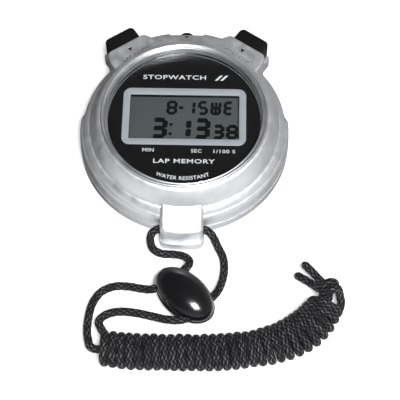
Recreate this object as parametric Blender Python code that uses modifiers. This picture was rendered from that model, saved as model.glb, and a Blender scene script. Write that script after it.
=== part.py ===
"""Digital hand stopwatch with a neck cord, lying face up on its back.

The frame is in metres. +Z comes out of the dial, +Y points from the dial's centre to the
mode button, and the origin is on the dial's axis, in the plane of the case's back.
Sizes below are written in millimetres and multiplied by MM where geometry is made.
"""
import math

import bmesh
import bpy
from mathutils import Matrix, Vector

MM = 0.001
NAME = "stopwatch"

# ---- driving dimensions, in millimetres ----
GAP = 0.3                 # between pieces that meet
PARTING_Z = 3.5           # plane between the front and back case
CREST_R = 25.6            # where the dome meets the bezel ring
CREST_Z = 16.9
RIM_Z = 16.45             # flat rim of the front case around the bezel ring
BODY_R = 31.5             # case radius above 9 and 3 o'clock
SKIRT_R = 32.5            # case radius below them
SKIRT_TOP_R = 31.35
SKIRT_TOP_Z = 9.1
FOOT_R = 29.35            # foot of the dome, where the skirt's groove runs
FOOT_Z = 11.3
CROWN_R = 33.0            # rim between the two shoulders
CROWN_Z = 12.8
CAVITY_R = 28.4
FLOOR_Z = 1.6             # inside of the back case
BUTTON_ANGLE = 34.0       # degrees from +Y, left and right
BUTTON_Z = 9.0
SHOULDER_U = 34.3         # distance of a shoulder's face from the dial's axis
SHOULDER_Z = 13.1
TRAY_U = 39.0             # ledge under each side button
POCKET_U = 31.1
CAP_U = 39.5
CAP_HALF_WIDTH = 5.3
CAP_HALF_HEIGHT = 3.1
STEM_END_U = 24.1
MODE_Y = 34.7
NOTCH_Y = 31.7
NOTCH_HALF_WIDTH = 5.4
LUG_HALF_WIDTH = 6.5
LUG_Y = -37.4
LUG_BACK_Y = -27.2
LUG_Z = 9.0               # top of the lug at its end, from where it rises towards the dome
LUG_SLOPE = 0.27
LUG_LIP_Y = -38.3
CORD_R = 1.25
BORE_R = 1.9              # cord bore across the lug
BORE_Y = -33.5
BORE_Z = 4.5
LENS_R = 23.6
LENS_Z = (13.8, 15.2)
DIAL_Z = (13.0, 13.5)
FRAME_SIZE = (38.1, 20.4)     # light frame around the display
WINDOW_SIZE = (33.7, 15.8)
FRAME_Y = 1.0                 # the frame sits a little above the dial's middle
BOARD_R = 22.5
BOARD_Z = (7.0, 8.0)
BATTERY_Y = -13.9
BATTERY_R = 10.0
BATTERY_Z = (2.7, 5.9)
COVER_R = 12.0
COVER_Z = (0.4, 2.4)
BUZZER_Y = 13.0
CASE_SCREW_R = 26.2
CASE_SCREW_ANGLES = (25.0, 155.0, 228.0, 312.0)
BOARD_SCREWS = ((6.8, 20.4), (-6.8, 20.4), (15.2, -15.2), (-15.2, -15.2))
TOGGLE_CENTRE = (1.3, -55.3, 5.3)
TOGGLE_HALF = (10.5, 6.6, 5.1)
TOGGLE_TURN = -43.5           # degrees, long axis from +X
TOGGLE_PARTING_Z = 5.0
HANK_HALF_WIDTH = 6.4
HANK_HALF_HEIGHT = 4.35
HANK_Z = 4.5

CASE_SEGMENTS = 48
SMALL_SEGMENTS = 28
TINY_SEGMENTS = 12

# Route of each cord, from the middle of the lug's bore to the hank, through the toggle.
LEFT_ROUTE = (
    (-0.3, -33.5, 4.5), (-3.2, -33.5, 4.5), (-6.9, -33.5, 4.5), (-9.0, -34.6, 3.8),
    (-9.4, -36.6, 2.4), (-8.4, -38.9, 1.6), (-5.8, -40.2, 1.4), (-2.3, -40.4, 1.4),
    (0.8, -41.2, 1.9), (2.6, -43.6, 3.4), (1.5, -46.7, 4.9), (-3.1, -50.3, 5.0),
    (-7.7, -53.4, 4.9), (-11.4, -52.9, 3.7), (-15.2, -51.8, 2.6), (-19.6, -51.7, 2.2),
    (-23.3, -53.5, 2.2), (-25.6, -57.1, 2.4), (-26.5, -61.4, 2.8), (-26.7, -65.6, 3.2),
    (-26.2, -69.2, 3.7), (-24.6, -72.2, 4.2),
)
RIGHT_ROUTE = (
    (0.3, -33.5, 4.5), (3.2, -33.5, 4.5), (6.9, -33.5, 4.5), (9.2, -34.9, 3.7),
    (11.0, -37.9, 1.9), (12.6, -41.2, 1.4), (13.0, -45.2, 1.4), (12.4, -49.4, 1.9),
    (11.2, -53.2, 3.7), (9.2, -56.3, 4.9), (6.1, -59.6, 5.0), (3.4, -62.1, 4.9),
    (0.0, -63.1, 4.6), (-4.0, -62.7, 4.1), (-8.3, -61.6, 3.7), (-12.8, -60.6, 3.5),
    (-17.6, -60.3, 3.5), (-21.4, -61.6, 4.0), (-23.3, -64.3, 4.6), (-23.7, -67.4, 5.0),
)
# Middle line of the hank, with its half width there: (x, y, half width).
HANK_ROUTE = (
    (-21.9, -72.1, 5.5), (-15.3, -72.9, 5.6), (-9.5, -73.1, 5.6), (-2.3, -73.1, 5.6),
    (4.9, -73.1, 5.6), (10.6, -72.9, 5.6), (16.0, -72.4, 5.6), (21.3, -71.6, 5.7),
    (26.5, -70.4, 5.8), (32.0, -68.3, 6.1), (36.6, -65.4, 6.4), (40.2, -61.7, 6.4),
    (42.8, -57.6, 5.6), (44.3, -53.6, 4.2),
)
TAIL_ROUTES = {
    "cord_tail_upper": ((41.9, -50.9, 5.6), (39.3, -47.4, 5.0), (36.4, -43.9, 4.4)),
    "cord_tail_lower": ((39.2, -50.2, 2.9), (36.6, -48.2, 2.3), (34.2, -46.5, 1.8)),
}

SILVER = ((0.62, 0.63, 0.65), 0.32, 0.75)
CHROME = ((0.80, 0.81, 0.83), 0.18, 0.95)
BLACK_PLASTIC = ((0.012, 0.012, 0.014), 0.28, 0.0)
GLOSS_BLACK = ((0.008, 0.008, 0.010), 0.10, 0.0)
CORD_BLACK = ((0.015, 0.015, 0.018), 0.85, 0.0)
RUBBER = ((0.03, 0.03, 0.03), 0.7, 0.0)
STEEL = ((0.55, 0.55, 0.56), 0.25, 1.0)
GOLD = ((0.75, 0.55, 0.25), 0.30, 1.0)
BOARD_GREEN = ((0.03, 0.18, 0.07), 0.45, 0.0)
LIGHT_GREY = ((0.55, 0.57, 0.57), 0.5, 0.0)
WHITE_PLASTIC = ((0.75, 0.75, 0.72), 0.5, 0.0)
DISPLAY = ((0.20, 0.24, 0.21), 0.2, 0.0)
CLEAR = ((0.90, 0.92, 0.93), 0.05, 0.0)


# ---- scene and materials ----
for old in list(bpy.data.objects):
    bpy.data.objects.remove(old, do_unlink=True)


def collection(name):
    made = bpy.data.collections.new(name)
    bpy.context.scene.collection.children.link(made)
    return made


PARTS = collection(NAME)
CUTTERS = collection(NAME + "_cutters")


def material(name, finish):
    colour, roughness, metallic = finish
    made = bpy.data.materials.new(name)
    made.use_nodes = True
    shader = made.node_tree.nodes["Principled BSDF"]
    shader.inputs["Base Color"].default_value = (*colour, 1.0)
    shader.inputs["Roughness"].default_value = roughness
    shader.inputs["Metallic"].default_value = metallic
    return made


def scaled(point):
    return Vector(point) * MM


def make_part(obj, finish):
    """Show the object as one of the part's pieces, with its own material."""
    for owner in list(obj.users_collection):
        owner.objects.unlink(obj)
    PARTS.objects.link(obj)
    obj.data.materials.clear()
    obj.data.materials.append(material(obj.name, finish))
    return obj


def make_cutter(obj):
    """Keep the object only as a tool for a Boolean."""
    obj.hide_render = True
    obj.display_type = "WIRE"
    return obj


def mesh_object(name, bm):
    mesh = bpy.data.meshes.new(name)
    bmesh.ops.recalc_face_normals(bm, faces=bm.faces)
    bm.to_mesh(mesh)
    bm.free()
    obj = bpy.data.objects.new(name, mesh)
    CUTTERS.objects.link(obj)
    return obj


# ---- basic shapes ----
def box(name, low, high, bevel=0.0):
    bm = bmesh.new()
    bmesh.ops.create_cube(bm, size=1.0)
    size = [(high[i] - low[i]) * MM for i in range(3)]
    middle = [(high[i] + low[i]) / 2 * MM for i in range(3)]
    bmesh.ops.scale(bm, vec=size, verts=bm.verts)
    bmesh.ops.translate(bm, vec=middle, verts=bm.verts)
    obj = mesh_object(name, bm)
    add_bevel(obj, bevel)
    return obj


def add_bevel(obj, width, segments=2):
    if width > 0:
        bevel = obj.modifiers.new("rounded edges", "BEVEL")
        bevel.width = width * MM
        bevel.segments = segments
        bevel.limit_method = "ANGLE"


def cylinder(name, radius, low, high, segments=TINY_SEGMENTS, tip_radius=None):
    """A cylinder or cone between two points."""
    start, end = scaled(low), scaled(high)
    length = (end - start).length
    bm = bmesh.new()
    bmesh.ops.create_cone(
        bm, cap_ends=True, segments=segments, radius1=radius * MM,
        radius2=(radius if tip_radius is None else tip_radius) * MM, depth=length)
    turn = (end - start).to_track_quat("Z", "Y").to_matrix().to_4x4()
    bmesh.ops.transform(bm, matrix=Matrix.Translation((start + end) / 2) @ turn, verts=bm.verts)
    return mesh_object(name, bm)


def torus(name, major, minor, centre, major_segments=24, minor_segments=6, turn=None):
    bpy.ops.mesh.primitive_torus_add(
        major_radius=major * MM, minor_radius=minor * MM,
        major_segments=major_segments, minor_segments=minor_segments)
    obj = bpy.context.object
    obj.name = name
    obj.matrix_world = Matrix.Translation(scaled(centre)) @ (turn or Matrix())
    return obj


def turned(name, profile, segments=CASE_SEGMENTS, centre=(0.0, 0.0)):
    """Turn a profile of (radius, z) points about a vertical axis.

    The points run down the outer side, top to bottom. A profile whose ends are not on the
    axis is closed into a ring.
    """
    bm = bmesh.new()
    points = [bm.verts.new((radius * MM, 0.0, z * MM)) for radius, z in profile]
    for first, second in zip(points, points[1:]):
        bm.edges.new((first, second))
    if profile[0][0] > 0:
        bm.edges.new((points[-1], points[0]))
    mesh = bpy.data.meshes.new(name)
    bm.to_mesh(mesh)
    bm.free()
    obj = bpy.data.objects.new(name, mesh)
    CUTTERS.objects.link(obj)
    obj.location = scaled((centre[0], centre[1], 0.0))
    screw = obj.modifiers.new("turning", "SCREW")
    screw.steps = segments
    screw.render_steps = segments
    screw.use_merge_vertices = True
    screw.merge_threshold = 0.00001
    return obj


def prism(name, outline, low, high, bevel=0.0, segments=2):
    """Extrude a closed outline of (x, y) points from z = low to z = high."""
    bm = bmesh.new()
    points = [bm.verts.new(scaled((x, y, low))) for x, y in outline]
    face = bm.faces.new(points)
    made = bmesh.ops.extrude_face_region(bm, geom=[face])
    top = [item for item in made["geom"] if isinstance(item, bmesh.types.BMVert)]
    bmesh.ops.translate(bm, vec=(0.0, 0.0, (high - low) * MM), verts=top)
    obj = mesh_object(name, bm)
    add_bevel(obj, bevel, segments)
    return obj


def combine(obj, other, operation):
    boolean = obj.modifiers.new(operation.lower() + " " + other.name, "BOOLEAN")
    boolean.operation = operation
    boolean.object = other
    boolean.solver = "EXACT"
    make_cutter(other)
    return obj


def cut(obj, *cutters):
    for cutter in cutters:
        combine(obj, cutter, "DIFFERENCE")


def join(obj, *others):
    for other in others:
        combine(obj, other, "UNION")


def rounded_rectangle(width, height, radius, steps=4, middle_y=0.0):
    """Corner-rounded rectangle centred on (0, middle_y), counter-clockwise."""
    outline = []
    corners = ((1, 1, 0), (-1, 1, 90), (-1, -1, 180), (1, -1, 270))
    for side_x, side_y, start in corners:
        centre_x = side_x * (width / 2 - radius)
        centre_y = middle_y + side_y * (height / 2 - radius)
        for step in range(steps + 1):
            angle = math.radians(start + 90 * step / steps)
            outline.append((centre_x + radius * math.cos(angle),
                            centre_y + radius * math.sin(angle)))
    return outline


def smooth_route(points, spacing):
    """Points every `spacing` along a Catmull-Rom curve through the route's points."""
    knots = [Vector(p) for p in points]
    knots = [2 * knots[0] - knots[1]] + knots + [2 * knots[-1] - knots[-2]]
    fine = []
    samples = 40
    for before, start, end, after in zip(knots, knots[1:], knots[2:], knots[3:]):
        for step in range(samples):
            t = step / samples
            fine.append(0.5 * (2 * start + (end - before) * t
                               + (2 * before - 5 * start + 4 * end - after) * t ** 2
                               + (3 * start - before - 3 * end + after) * t ** 3))
    fine.append(knots[-2])
    lengths = [0.0]
    for first, second in zip(fine, fine[1:]):
        lengths.append(lengths[-1] + (second - first).length)
    count = max(2, round(lengths[-1] / spacing))
    route = []
    index = 0
    for step in range(count + 1):
        target = lengths[-1] * step / count
        while index < len(lengths) - 2 and lengths[index + 1] < target:
            index += 1
        span = lengths[index + 1] - lengths[index]
        route.append(fine[index].lerp(fine[index + 1], (target - lengths[index]) / span))
    return route


def tube(name, points, radius, bevel_resolution=2, shares=None):
    """A filled tube along a run of points; shares scale its radius at each of them."""
    curve = bpy.data.curves.new(name, "CURVE")
    curve.dimensions = "3D"
    curve.bevel_depth = radius * MM
    curve.bevel_resolution = bevel_resolution
    curve.use_fill_caps = True
    spline = curve.splines.new("POLY")
    spline.points.add(len(points) - 1)
    for slot, point, share in zip(spline.points, points, shares or [1.0] * len(points)):
        slot.co = (*(Vector(point) * MM), 1.0)
        slot.radius = share
    obj = bpy.data.objects.new(name, curve)
    CUTTERS.objects.link(obj)
    return obj


def coil(name, radius, wire, start, end, turns, around):
    """A compression spring from start to end along the axis `around`."""
    per_turn = 7
    count = turns * per_turn
    axis = Vector(around).normalized()
    across = axis.orthogonal().normalized()
    third = axis.cross(across)
    points = []
    for step in range(count + 1):
        angle = 2 * math.pi * step / per_turn
        centre = Vector(start).lerp(Vector(end), step / count)
        points.append(centre + across * radius * math.cos(angle)
                      + third * radius * math.sin(angle))
    return tube(name, points, wire, 0)


# ---- places on the side buttons' shoulders ----
def shoulder_frame(side):
    """Matrix whose X runs out along the button's travel, Y across it; side is -1 or +1."""
    out = Vector((side * math.sin(math.radians(BUTTON_ANGLE)),
                  math.cos(math.radians(BUTTON_ANGLE)), 0.0))
    across = Vector((-out.y, out.x, 0.0))
    return Matrix((
        (out.x, across.x, 0.0, 0.0), (out.y, across.y, 0.0, 0.0),
        (0.0, 0.0, 1.0, 0.0), (0.0, 0.0, 0.0, 1.0)))


def on_shoulder(obj, side):
    obj.matrix_world = shoulder_frame(side) @ obj.matrix_world
    return obj


def shoulder_outline(side, reach):
    """Plan of a shoulder in its own frame; its chamfered corner faces the mode button."""
    return [
        (18.0, 8.0 * side), (reach - 2.6, 8.0 * side), (reach - 0.2, 6.4 * side),
        (reach, 5.6 * side), (reach, -6.3 * side), (reach - 0.8, -7.4 * side),
        (reach - 4.0, -8.2 * side), (18.0, -8.4 * side)]


# ---- the case ----
def dome_radius(z):
    """Radius of the front case's dome, from the bezel ring down to its foot."""
    drop = (CREST_Z - z) / (CREST_Z - FOOT_Z)
    return CREST_R + (FOOT_R - CREST_R) * drop ** 0.65


def section(angle):
    """Outer (radius, z) points of the front case at an angle from +X, below the dome."""
    if 60 <= angle <= 120:
        return [(28.6, 13.45), (CROWN_R - 0.6, CROWN_Z), (CROWN_R, CROWN_Z - 0.6),
                (CROWN_R, PARTING_Z)]
    if 8 < angle < 172:
        return [(FOOT_R, FOOT_Z), (BODY_R - 0.6, 9.9), (BODY_R - 0.1, 8.9), (BODY_R, PARTING_Z)]
    return [(FOOT_R, FOOT_Z), (SKIRT_TOP_R, SKIRT_TOP_Z), (SKIRT_R - 0.1, SKIRT_TOP_Z - 1.1),
            (SKIRT_R, PARTING_Z)]


def loft(name, sections):
    """Closed solid through (angle, section) pairs, each section running top to bottom."""
    bm = bmesh.new()
    columns = []
    for angle, profile in sections:
        turn = math.radians(angle)
        columns.append([bm.verts.new(scaled((radius * math.cos(turn), radius * math.sin(turn), z)))
                        for radius, z in profile])
    for this, following in zip(columns, columns[1:] + columns[:1]):
        for row in range(len(this) - 1):
            bm.faces.new((this[row], this[row + 1], following[row + 1], following[row]))
    for row in (0, -1):
        bm.faces.new([column[row] for column in columns])
    return mesh_object(name, bm)


def case_angles():
    """Even steps round the case, and the angles where the skirt starts and ends."""
    even = [360.0 * number / CASE_SEGMENTS for number in range(CASE_SEGMENTS)]
    ends = [5.0, 11.0, 169.0, 175.0]
    return sorted(ends + [a for a in even if min(abs(a - end) for end in ends) > 3.0])


def front_body(name, low):
    dome = [(dome_radius(z), z) for z in (RIM_Z, 15.9, 14.5)]
    return loft(name, [(angle, dome + section(angle) + [(section(angle)[-1][0], low)])
                       for angle in case_angles()])


def back_body(name, low, high):
    made = []
    for angle in case_angles():
        radius = section(angle)[-1][0]
        if radius == SKIRT_R:
            radius += 0.2
        made.append((angle, [(radius, high), (radius, low)]))
    return loft(name, made)


def lug_solid(name, low, high, end_y, half_width, bevel):
    return prism(name, [(-half_width, LUG_BACK_Y), (-half_width, end_y + 2.2),
                        (-half_width + 0.7, end_y + 0.7), (-half_width + 2.4, end_y + 0.15),
                        (0, end_y),
                        (half_width - 2.4, end_y + 0.15), (half_width - 0.7, end_y + 0.7),
                        (half_width, end_y + 2.2), (half_width, LUG_BACK_Y)], low, high, bevel)


def notch_cutter(name):
    return box(name, (-NOTCH_HALF_WIDTH, NOTCH_Y, -4), (NOTCH_HALF_WIDTH, 40, 20))


def cord_bore(name):
    return cylinder(name, BORE_R, (-12, BORE_Y, BORE_Z), (12, BORE_Y, BORE_Z), 20)


def ring_places(radius, angles):
    return [(radius * math.cos(math.radians(a)), radius * math.sin(math.radians(a)))
            for a in angles]


CASE_SCREWS = ring_places(CASE_SCREW_R, CASE_SCREW_ANGLES)


def build_front_case():
    low = PARTING_Z + GAP / 2
    case = front_body("front_case", low - 1.5)
    for side, label in ((-1, "left"), (1, "right")):
        shoulder = prism(label + "_shoulder_body", shoulder_outline(side, SHOULDER_U),
                         low - 1.1, SHOULDER_Z, 0.5, 1)
        tray = box(label + "_tray_body", (26, -6.0, low - 0.8), (TRAY_U, 6.0, 5.5), 0.3)
        join(case, on_shoulder(shoulder, side), on_shoulder(tray, side))
    lug = lug_solid("lug_body", low - 1.3, LUG_Z, LUG_Y, LUG_HALF_WIDTH, 0.8)
    for vertex in lug.data.vertices:
        if vertex.co.z > (LUG_Z - 1) * MM:
            vertex.co.z += LUG_SLOPE * (vertex.co.y - LUG_Y * MM)
    join(case, lug)
    cut(case, turned("case_cavity", [
        (0.0, 20.0), (25.9, 20.0), (25.9, 14.1), (23.9, 14.1), (23.9, 12.7), (22.3, 12.7),
        (22.3, 11.9), (26.4, 11.9), (26.4, 10.0), (CAVITY_R, 7.5), (CAVITY_R, 0.0),
        (0.0, 0.0)]))
    for side, label in ((-1, "left"), (1, "right")):
        tools = (
            box(label + "_pocket", (POCKET_U, -5.7, 5.6), (45, 5.7, 12.4)),
            cylinder(label + "_seal_seat", 3.2, (30.2, 0, BUTTON_Z), (32, 0, BUTTON_Z), 24),
            cylinder(label + "_stem_bore", 1.55, (20, 0, BUTTON_Z), (32, 0, BUTTON_Z)),
            cylinder(label + "_side_recess", 0.55, (37.2, -5.4 * side, 4.6),
                     (37.2, -9 * side, 4.6), 12))
        for tool in tools:
            cut(case, on_shoulder(tool, side))
    cut(case, notch_cutter("front_notch"),
        cylinder("mode_bore", 3.1, (0, 30.2, BUTTON_Z), (0, 40, BUTTON_Z), 24),
        cylinder("mode_stem_bore", 1.15, (0, 20, BUTTON_Z), (0, 32, BUTTON_Z)),
        cord_bore("front_cord_bore"))
    for number, (x, y) in enumerate(CASE_SCREWS, 1):
        join(case, cylinder("case_boss_%d" % number, 2.4, (x, y, 2.2), (x, y, 9.6)))
    for number, (x, y) in enumerate(BOARD_SCREWS, 1):
        join(case, cylinder("board_boss_%d" % number, 2.0, (x, y, 8.3), (x, y, 12.5)))
    for number, (x, y) in enumerate(CASE_SCREWS, 1):
        cut(case, cylinder("case_pilot_%d" % number, 1.2, (x, y, 0), (x, y, 8.6), 12))
    for number, (x, y) in enumerate(BOARD_SCREWS, 1):
        cut(case, cylinder("board_pilot_%d" % number, 0.9, (x, y, 6), (x, y, 11.4), 12))
    cut(case, box("front_parting", (-60, -60, -9), (60, 60, low)))
    make_part(case, SILVER)


def build_back_case():
    high = PARTING_Z - GAP / 2
    case = back_body("back_case", -1.0, high + 1.4)
    for side, label in ((-1, "left"), (1, "right")):
        shoulder = prism(label + "_back_shoulder", shoulder_outline(side, SHOULDER_U),
                         -1.2, high + 1.1)
        tray = box(label + "_back_tray", (26, -6.0, -1.5), (TRAY_U, 6.0, high + 1.7))
        join(case, on_shoulder(shoulder, side), on_shoulder(tray, side))
    join(case, lug_solid("back_lug", -1.7, high + 0.9, LUG_LIP_Y, LUG_HALF_WIDTH + 0.3, 0.0))
    cut(case, turned("back_cavity", [(0.0, 9.0), (CAVITY_R, 9.0), (CAVITY_R, FLOOR_Z),
                                     (0.0, FLOOR_Z)]))
    centre = (0.0, BATTERY_Y)
    join(case, turned("battery_well", [(14.0, 5.0), (14.0, 1.0), (13.4, 1.0), (13.4, 5.0)],
                      SMALL_SEGMENTS, centre))
    for number, (x, y) in enumerate(CASE_SCREWS, 1):
        join(case, cylinder("back_boss_%d" % number, 3.0, (x, y, 1.0), (x, y, high + 1.0)))
    for number, (x, y) in enumerate(CASE_SCREWS, 1):
        cut(case, cylinder("head_seat_%d" % number, 2.2, (x, y, -3), (x, y, 2.0)),
            cylinder("screw_bore_%d" % number, 1.2, (x, y, 0), (x, y, 8), 12))
    notches = box("cover_entry", (-13.25, -2.4, -3), (13.25, 2.4, 3))
    notches.matrix_world = (Matrix.Translation(scaled((0, BATTERY_Y, 0)))
                            @ Matrix.Rotation(math.radians(-45), 4, "Z"))
    cut(case, turned("gasket_groove", [(30.0, 9.0), (30.0, 2.55), (28.85, 2.55), (28.85, 9.0)]),
        cylinder("battery_door", COVER_R + 0.4, (0, BATTERY_Y, -3), (0, BATTERY_Y, 3),
                 SMALL_SEGMENTS),
        notches, notch_cutter("back_notch"), cord_bore("back_cord_bore"),
        box("back_plane", (-60, -60, -9), (60, 60, 0)),
        rim_above_parting(high))
    make_part(case, SILVER)


def rim_above_parting(high):
    """Everything above the parting plane but the battery well, which stands higher."""
    block = box("back_parting", (-60, -60, high), (60, 60, 12))
    cut(block, cylinder("well_clearance", 14.2, (0, BATTERY_Y, 0), (0, BATTERY_Y, 20),
                        SMALL_SEGMENTS))
    return block


def build_front_pieces():
    ring = turned("bezel_ring", [
        (25.2, 17.06), (25.6, 16.7), (25.6, 14.4), (23.95, 14.4), (23.95, 15.4),
        (24.2, 16.5), (24.7, 16.4)])
    make_part(ring, CHROME)
    low, high = LENS_Z
    make_part(turned("lens", [(0.0, high), (LENS_R - 0.3, high), (LENS_R, high - 0.3),
                              (LENS_R, low), (0.0, low)]), CLEAR)
    low, high = DIAL_Z
    plate = cylinder("dial_plate", LENS_R - 0.1, (0, 0, low), (0, 0, high), CASE_SEGMENTS)
    width, height = FRAME_SIZE
    cut(plate, prism("dial_window",
                     rounded_rectangle(width + 0.6, height + 0.6, 2.8, middle_y=FRAME_Y),
                     low - 1, high + 1))
    make_part(plate, GLOSS_BLACK)
    frame = prism("window_frame", rounded_rectangle(width, height, 2.5, middle_y=FRAME_Y),
                  12.4, high, 0.2)
    cut(frame, prism("frame_window", rounded_rectangle(*WINDOW_SIZE, 0.4, 2, FRAME_Y), 10, 16))
    make_part(frame, LIGHT_GREY)


def build_display_and_board():
    make_part(box("lcd_panel", (-18.7, -10.2, 10.6), (18.7, 10.2, 12.0)), DISPLAY)
    holder = box("lcd_holder", (-20.5, -12.0, 8.3), (20.5, 12.0, 11.5), 0.4)
    cut(holder, box("holder_window", (-19.0, -10.5, 5), (19.0, 10.5, 15)))
    make_part(holder, WHITE_PLASTIC)
    for label, side in (("upper", 1), ("lower", -1)):
        y = sorted((side * 8.4, side * 10.0))
        make_part(box("lcd_connector_" + label, (-18, y[0], 8.3), (18, y[1], 10.3)), RUBBER)
    low, high = BOARD_Z
    board = cylinder("circuit_board", BOARD_R, (0, 0, low), (0, 0, high), SMALL_SEGMENTS)
    for number, (x, y) in enumerate(BOARD_SCREWS, 1):
        cut(board, cylinder("board_hole_%d" % number, 1.0, (x, y, 5), (x, y, 9), 12))
    make_part(board, BOARD_GREEN)
    chip = turned("timer_chip", [(0.0, 6.7), (4.0, 6.7), (3.6, 5.9), (2.2, 5.4), (0.0, 5.3)],
                  20, (-9.0, 5.0))
    make_part(chip, GLOSS_BLACK)
    make_part(cylinder("quartz_crystal", 1.0, (6.5, 2.0, 5.7), (12.5, 2.0, 5.7)), STEEL)
    for number, y in enumerate((7.0, 10.0), 1):
        make_part(box("capacitor_%d" % number, (12.0, y, 5.5), (15.2, y + 1.6, 6.7)),
                  ((0.45, 0.33, 0.2), 0.5, 0.0))
    for number, (x, y) in enumerate(BOARD_SCREWS, 1):
        screw = turned("board_screw_%d" % number, [
            (0.0, 10.9), (0.6, 10.9), (0.6, 6.7), (1.5, 6.7), (1.5, 6.1), (1.0, 5.6),
            (0.0, 5.5)], 12, (x, y))
        make_part(screw, STEEL)


def build_switch(name, matrix, half_width, reach):
    body = box(name, (19.2, -half_width, 8.3), (21.6, half_width, 10.3), 0.2)
    join(body, cylinder(name + "_plunger", 0.75, (21.0, 0, 9.2), (reach, 0, 9.2), 12))
    for piece in (body, bpy.data.objects[name + "_plunger"]):
        piece.matrix_world = matrix @ piece.matrix_world
    make_part(body, BLACK_PLASTIC)


def build_power():
    low, high = BATTERY_Z
    battery = turned("battery", [
        (0.0, high), (8.8, high), (9.2, high - 0.5), (BATTERY_R, high - 0.7),
        (BATTERY_R, low), (0.0, low)], SMALL_SEGMENTS, (0.0, BATTERY_Y))
    make_part(battery, STEEL)
    minus = box("battery_contact_negative", (-7, BATTERY_Y - 1.5, 6.2), (7, BATTERY_Y + 1.5, 6.6))
    make_part(minus, STEEL)
    plus = box("battery_contact_positive", (10.5, BATTERY_Y - 3, 2.9), (11.0, BATTERY_Y + 3, 6.7))
    join(plus, box("positive_contact_foot", (10.6, BATTERY_Y - 2, 6.2), (12.9, BATTERY_Y + 2, 6.6)))
    make_part(plus, STEEL)
    bottom, top = COVER_Z
    cover = turned("battery_cover", [
        (0.0, top), (COVER_R - 0.3, top), (COVER_R - 0.3, 1.75), (COVER_R - 0.7, 1.75),
        (COVER_R - 0.7, 0.75), (COVER_R, 0.75), (COVER_R, bottom), (0.0, bottom)],
                   SMALL_SEGMENTS)
    join(cover, box("bayonet_tabs", (-13.0, -2.0, 1.95), (13.0, 2.0, 2.35)))
    cut(cover, box("coin_slot", (-7.5, -0.9, -1), (7.5, 0.9, 1.3)))
    for piece in [cover] + [m.object for m in cover.modifiers if m.type == "BOOLEAN"]:
        piece.location = scaled((0, BATTERY_Y, 0))
    make_part(cover, SILVER)
    make_part(torus("battery_cover_seal", 11.85, 0.22, (0, BATTERY_Y, 1.25), 28, 5), RUBBER)
    gasket = turned("case_gasket", [(29.7, 3.35), (29.7, 2.9), (29.15, 2.9), (29.15, 3.35)])
    make_part(gasket, RUBBER)
    make_part(cylinder("buzzer_disc", 10.0, (0, BUZZER_Y, 1.9), (0, BUZZER_Y, 2.3),
                       SMALL_SEGMENTS), GOLD)
    make_part(coil("buzzer_spring", 1.2, 0.2, (0, BUZZER_Y, 2.8), (0, BUZZER_Y, 6.5), 5,
                   (0, 0, 1)), GOLD)


def build_case_screws():
    for number, (x, y) in enumerate(CASE_SCREWS, 1):
        screw = turned("case_screw_%d" % number, [
            (0.0, 8.2), (0.6, 8.2), (0.9, 7.4), (0.9, 1.7), (1.9, 1.7), (1.9, 0.9),
            (1.5, 0.5), (0.0, 0.5)], TINY_SEGMENTS, (x, y))
        recess = box("driver_recess_%d" % number, (x - 1.1, y - 0.25, -1), (x + 1.1, y + 0.25, 0.9))
        cross = box("driver_cross_%d" % number, (x - 0.25, y - 1.1, -1), (x + 0.25, y + 1.1, 0.9))
        cut(screw, recess, cross)
        make_part(screw, STEEL)


# ---- the buttons ----
def build_side_button(side, label):
    matrix = shoulder_frame(side)
    outline = [
        (POCKET_U + 1.6, -CAP_HALF_WIDTH), (CAP_U - 1.1, -CAP_HALF_WIDTH),
        (CAP_U - 0.3, -CAP_HALF_WIDTH + 0.8), (CAP_U, -CAP_HALF_WIDTH + 1.9),
        (CAP_U, CAP_HALF_WIDTH - 1.9), (CAP_U - 0.3, CAP_HALF_WIDTH - 0.8),
        (CAP_U - 1.1, CAP_HALF_WIDTH), (POCKET_U + 1.6, CAP_HALF_WIDTH)]
    cap = prism(label + "_button", outline, BUTTON_Z - CAP_HALF_HEIGHT,
                BUTTON_Z + CAP_HALF_HEIGHT, 0.45)
    cut(cap, cylinder(label + "_spring_seat", 2.3, (30, 0, BUTTON_Z), (37.2, 0, BUTTON_Z), 20))
    join(cap, cylinder(label + "_stem", 1.2, (STEM_END_U, 0, BUTTON_Z), (38, 0, BUTTON_Z)))
    for piece in [cap] + [m.object for m in cap.modifiers if m.type == "BOOLEAN"]:
        piece.matrix_world = matrix @ piece.matrix_world
    make_part(cap, BLACK_PLASTIC)
    spring = coil(label + "_button_spring", 1.75, 0.2, (31.6, 0, BUTTON_Z),
                  (36.7, 0, BUTTON_Z), 4, (1, 0, 0))
    make_part(on_shoulder(spring, side), STEEL)
    seal = cylinder(label + "_button_seal", 2.9, (30.5, 0, BUTTON_Z), (31.0, 0, BUTTON_Z), 20)
    bore = cylinder(label + "_seal_bore", 1.55, (29, 0, BUTTON_Z), (33, 0, BUTTON_Z))
    cut(seal, on_shoulder(bore, side))
    make_part(on_shoulder(seal, side), RUBBER)
    build_switch(label + "_switch", matrix, 3.0, 22.6)


def build_mode_button():
    outward = Matrix.Rotation(math.radians(-90), 4, "X")
    cap = turned("mode_button", [
        (0.0, MODE_Y), (1.1, MODE_Y - 0.15), (2.1, MODE_Y - 0.8), (2.65, MODE_Y - 1.7),
        (2.8, MODE_Y - 2.4), (2.8, 31.0), (1.85, 31.0), (1.85, 33.1), (0.8, 33.1),
        (0.8, 24.0), (0.0, 24.0)], 24)
    cap.matrix_world = Matrix.Translation(scaled((0, 0, BUTTON_Z))) @ outward
    make_part(cap, BLACK_PLASTIC)
    spring = coil("mode_button_spring", 1.3, 0.15, (0, 30.5, BUTTON_Z), (0, 32.8, BUTTON_Z), 3,
                  (0, 1, 0))
    make_part(spring, STEEL)
    build_switch("mode_switch", Matrix.Rotation(math.radians(90), 4, "Z"), 2.5, 22.6)


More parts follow.
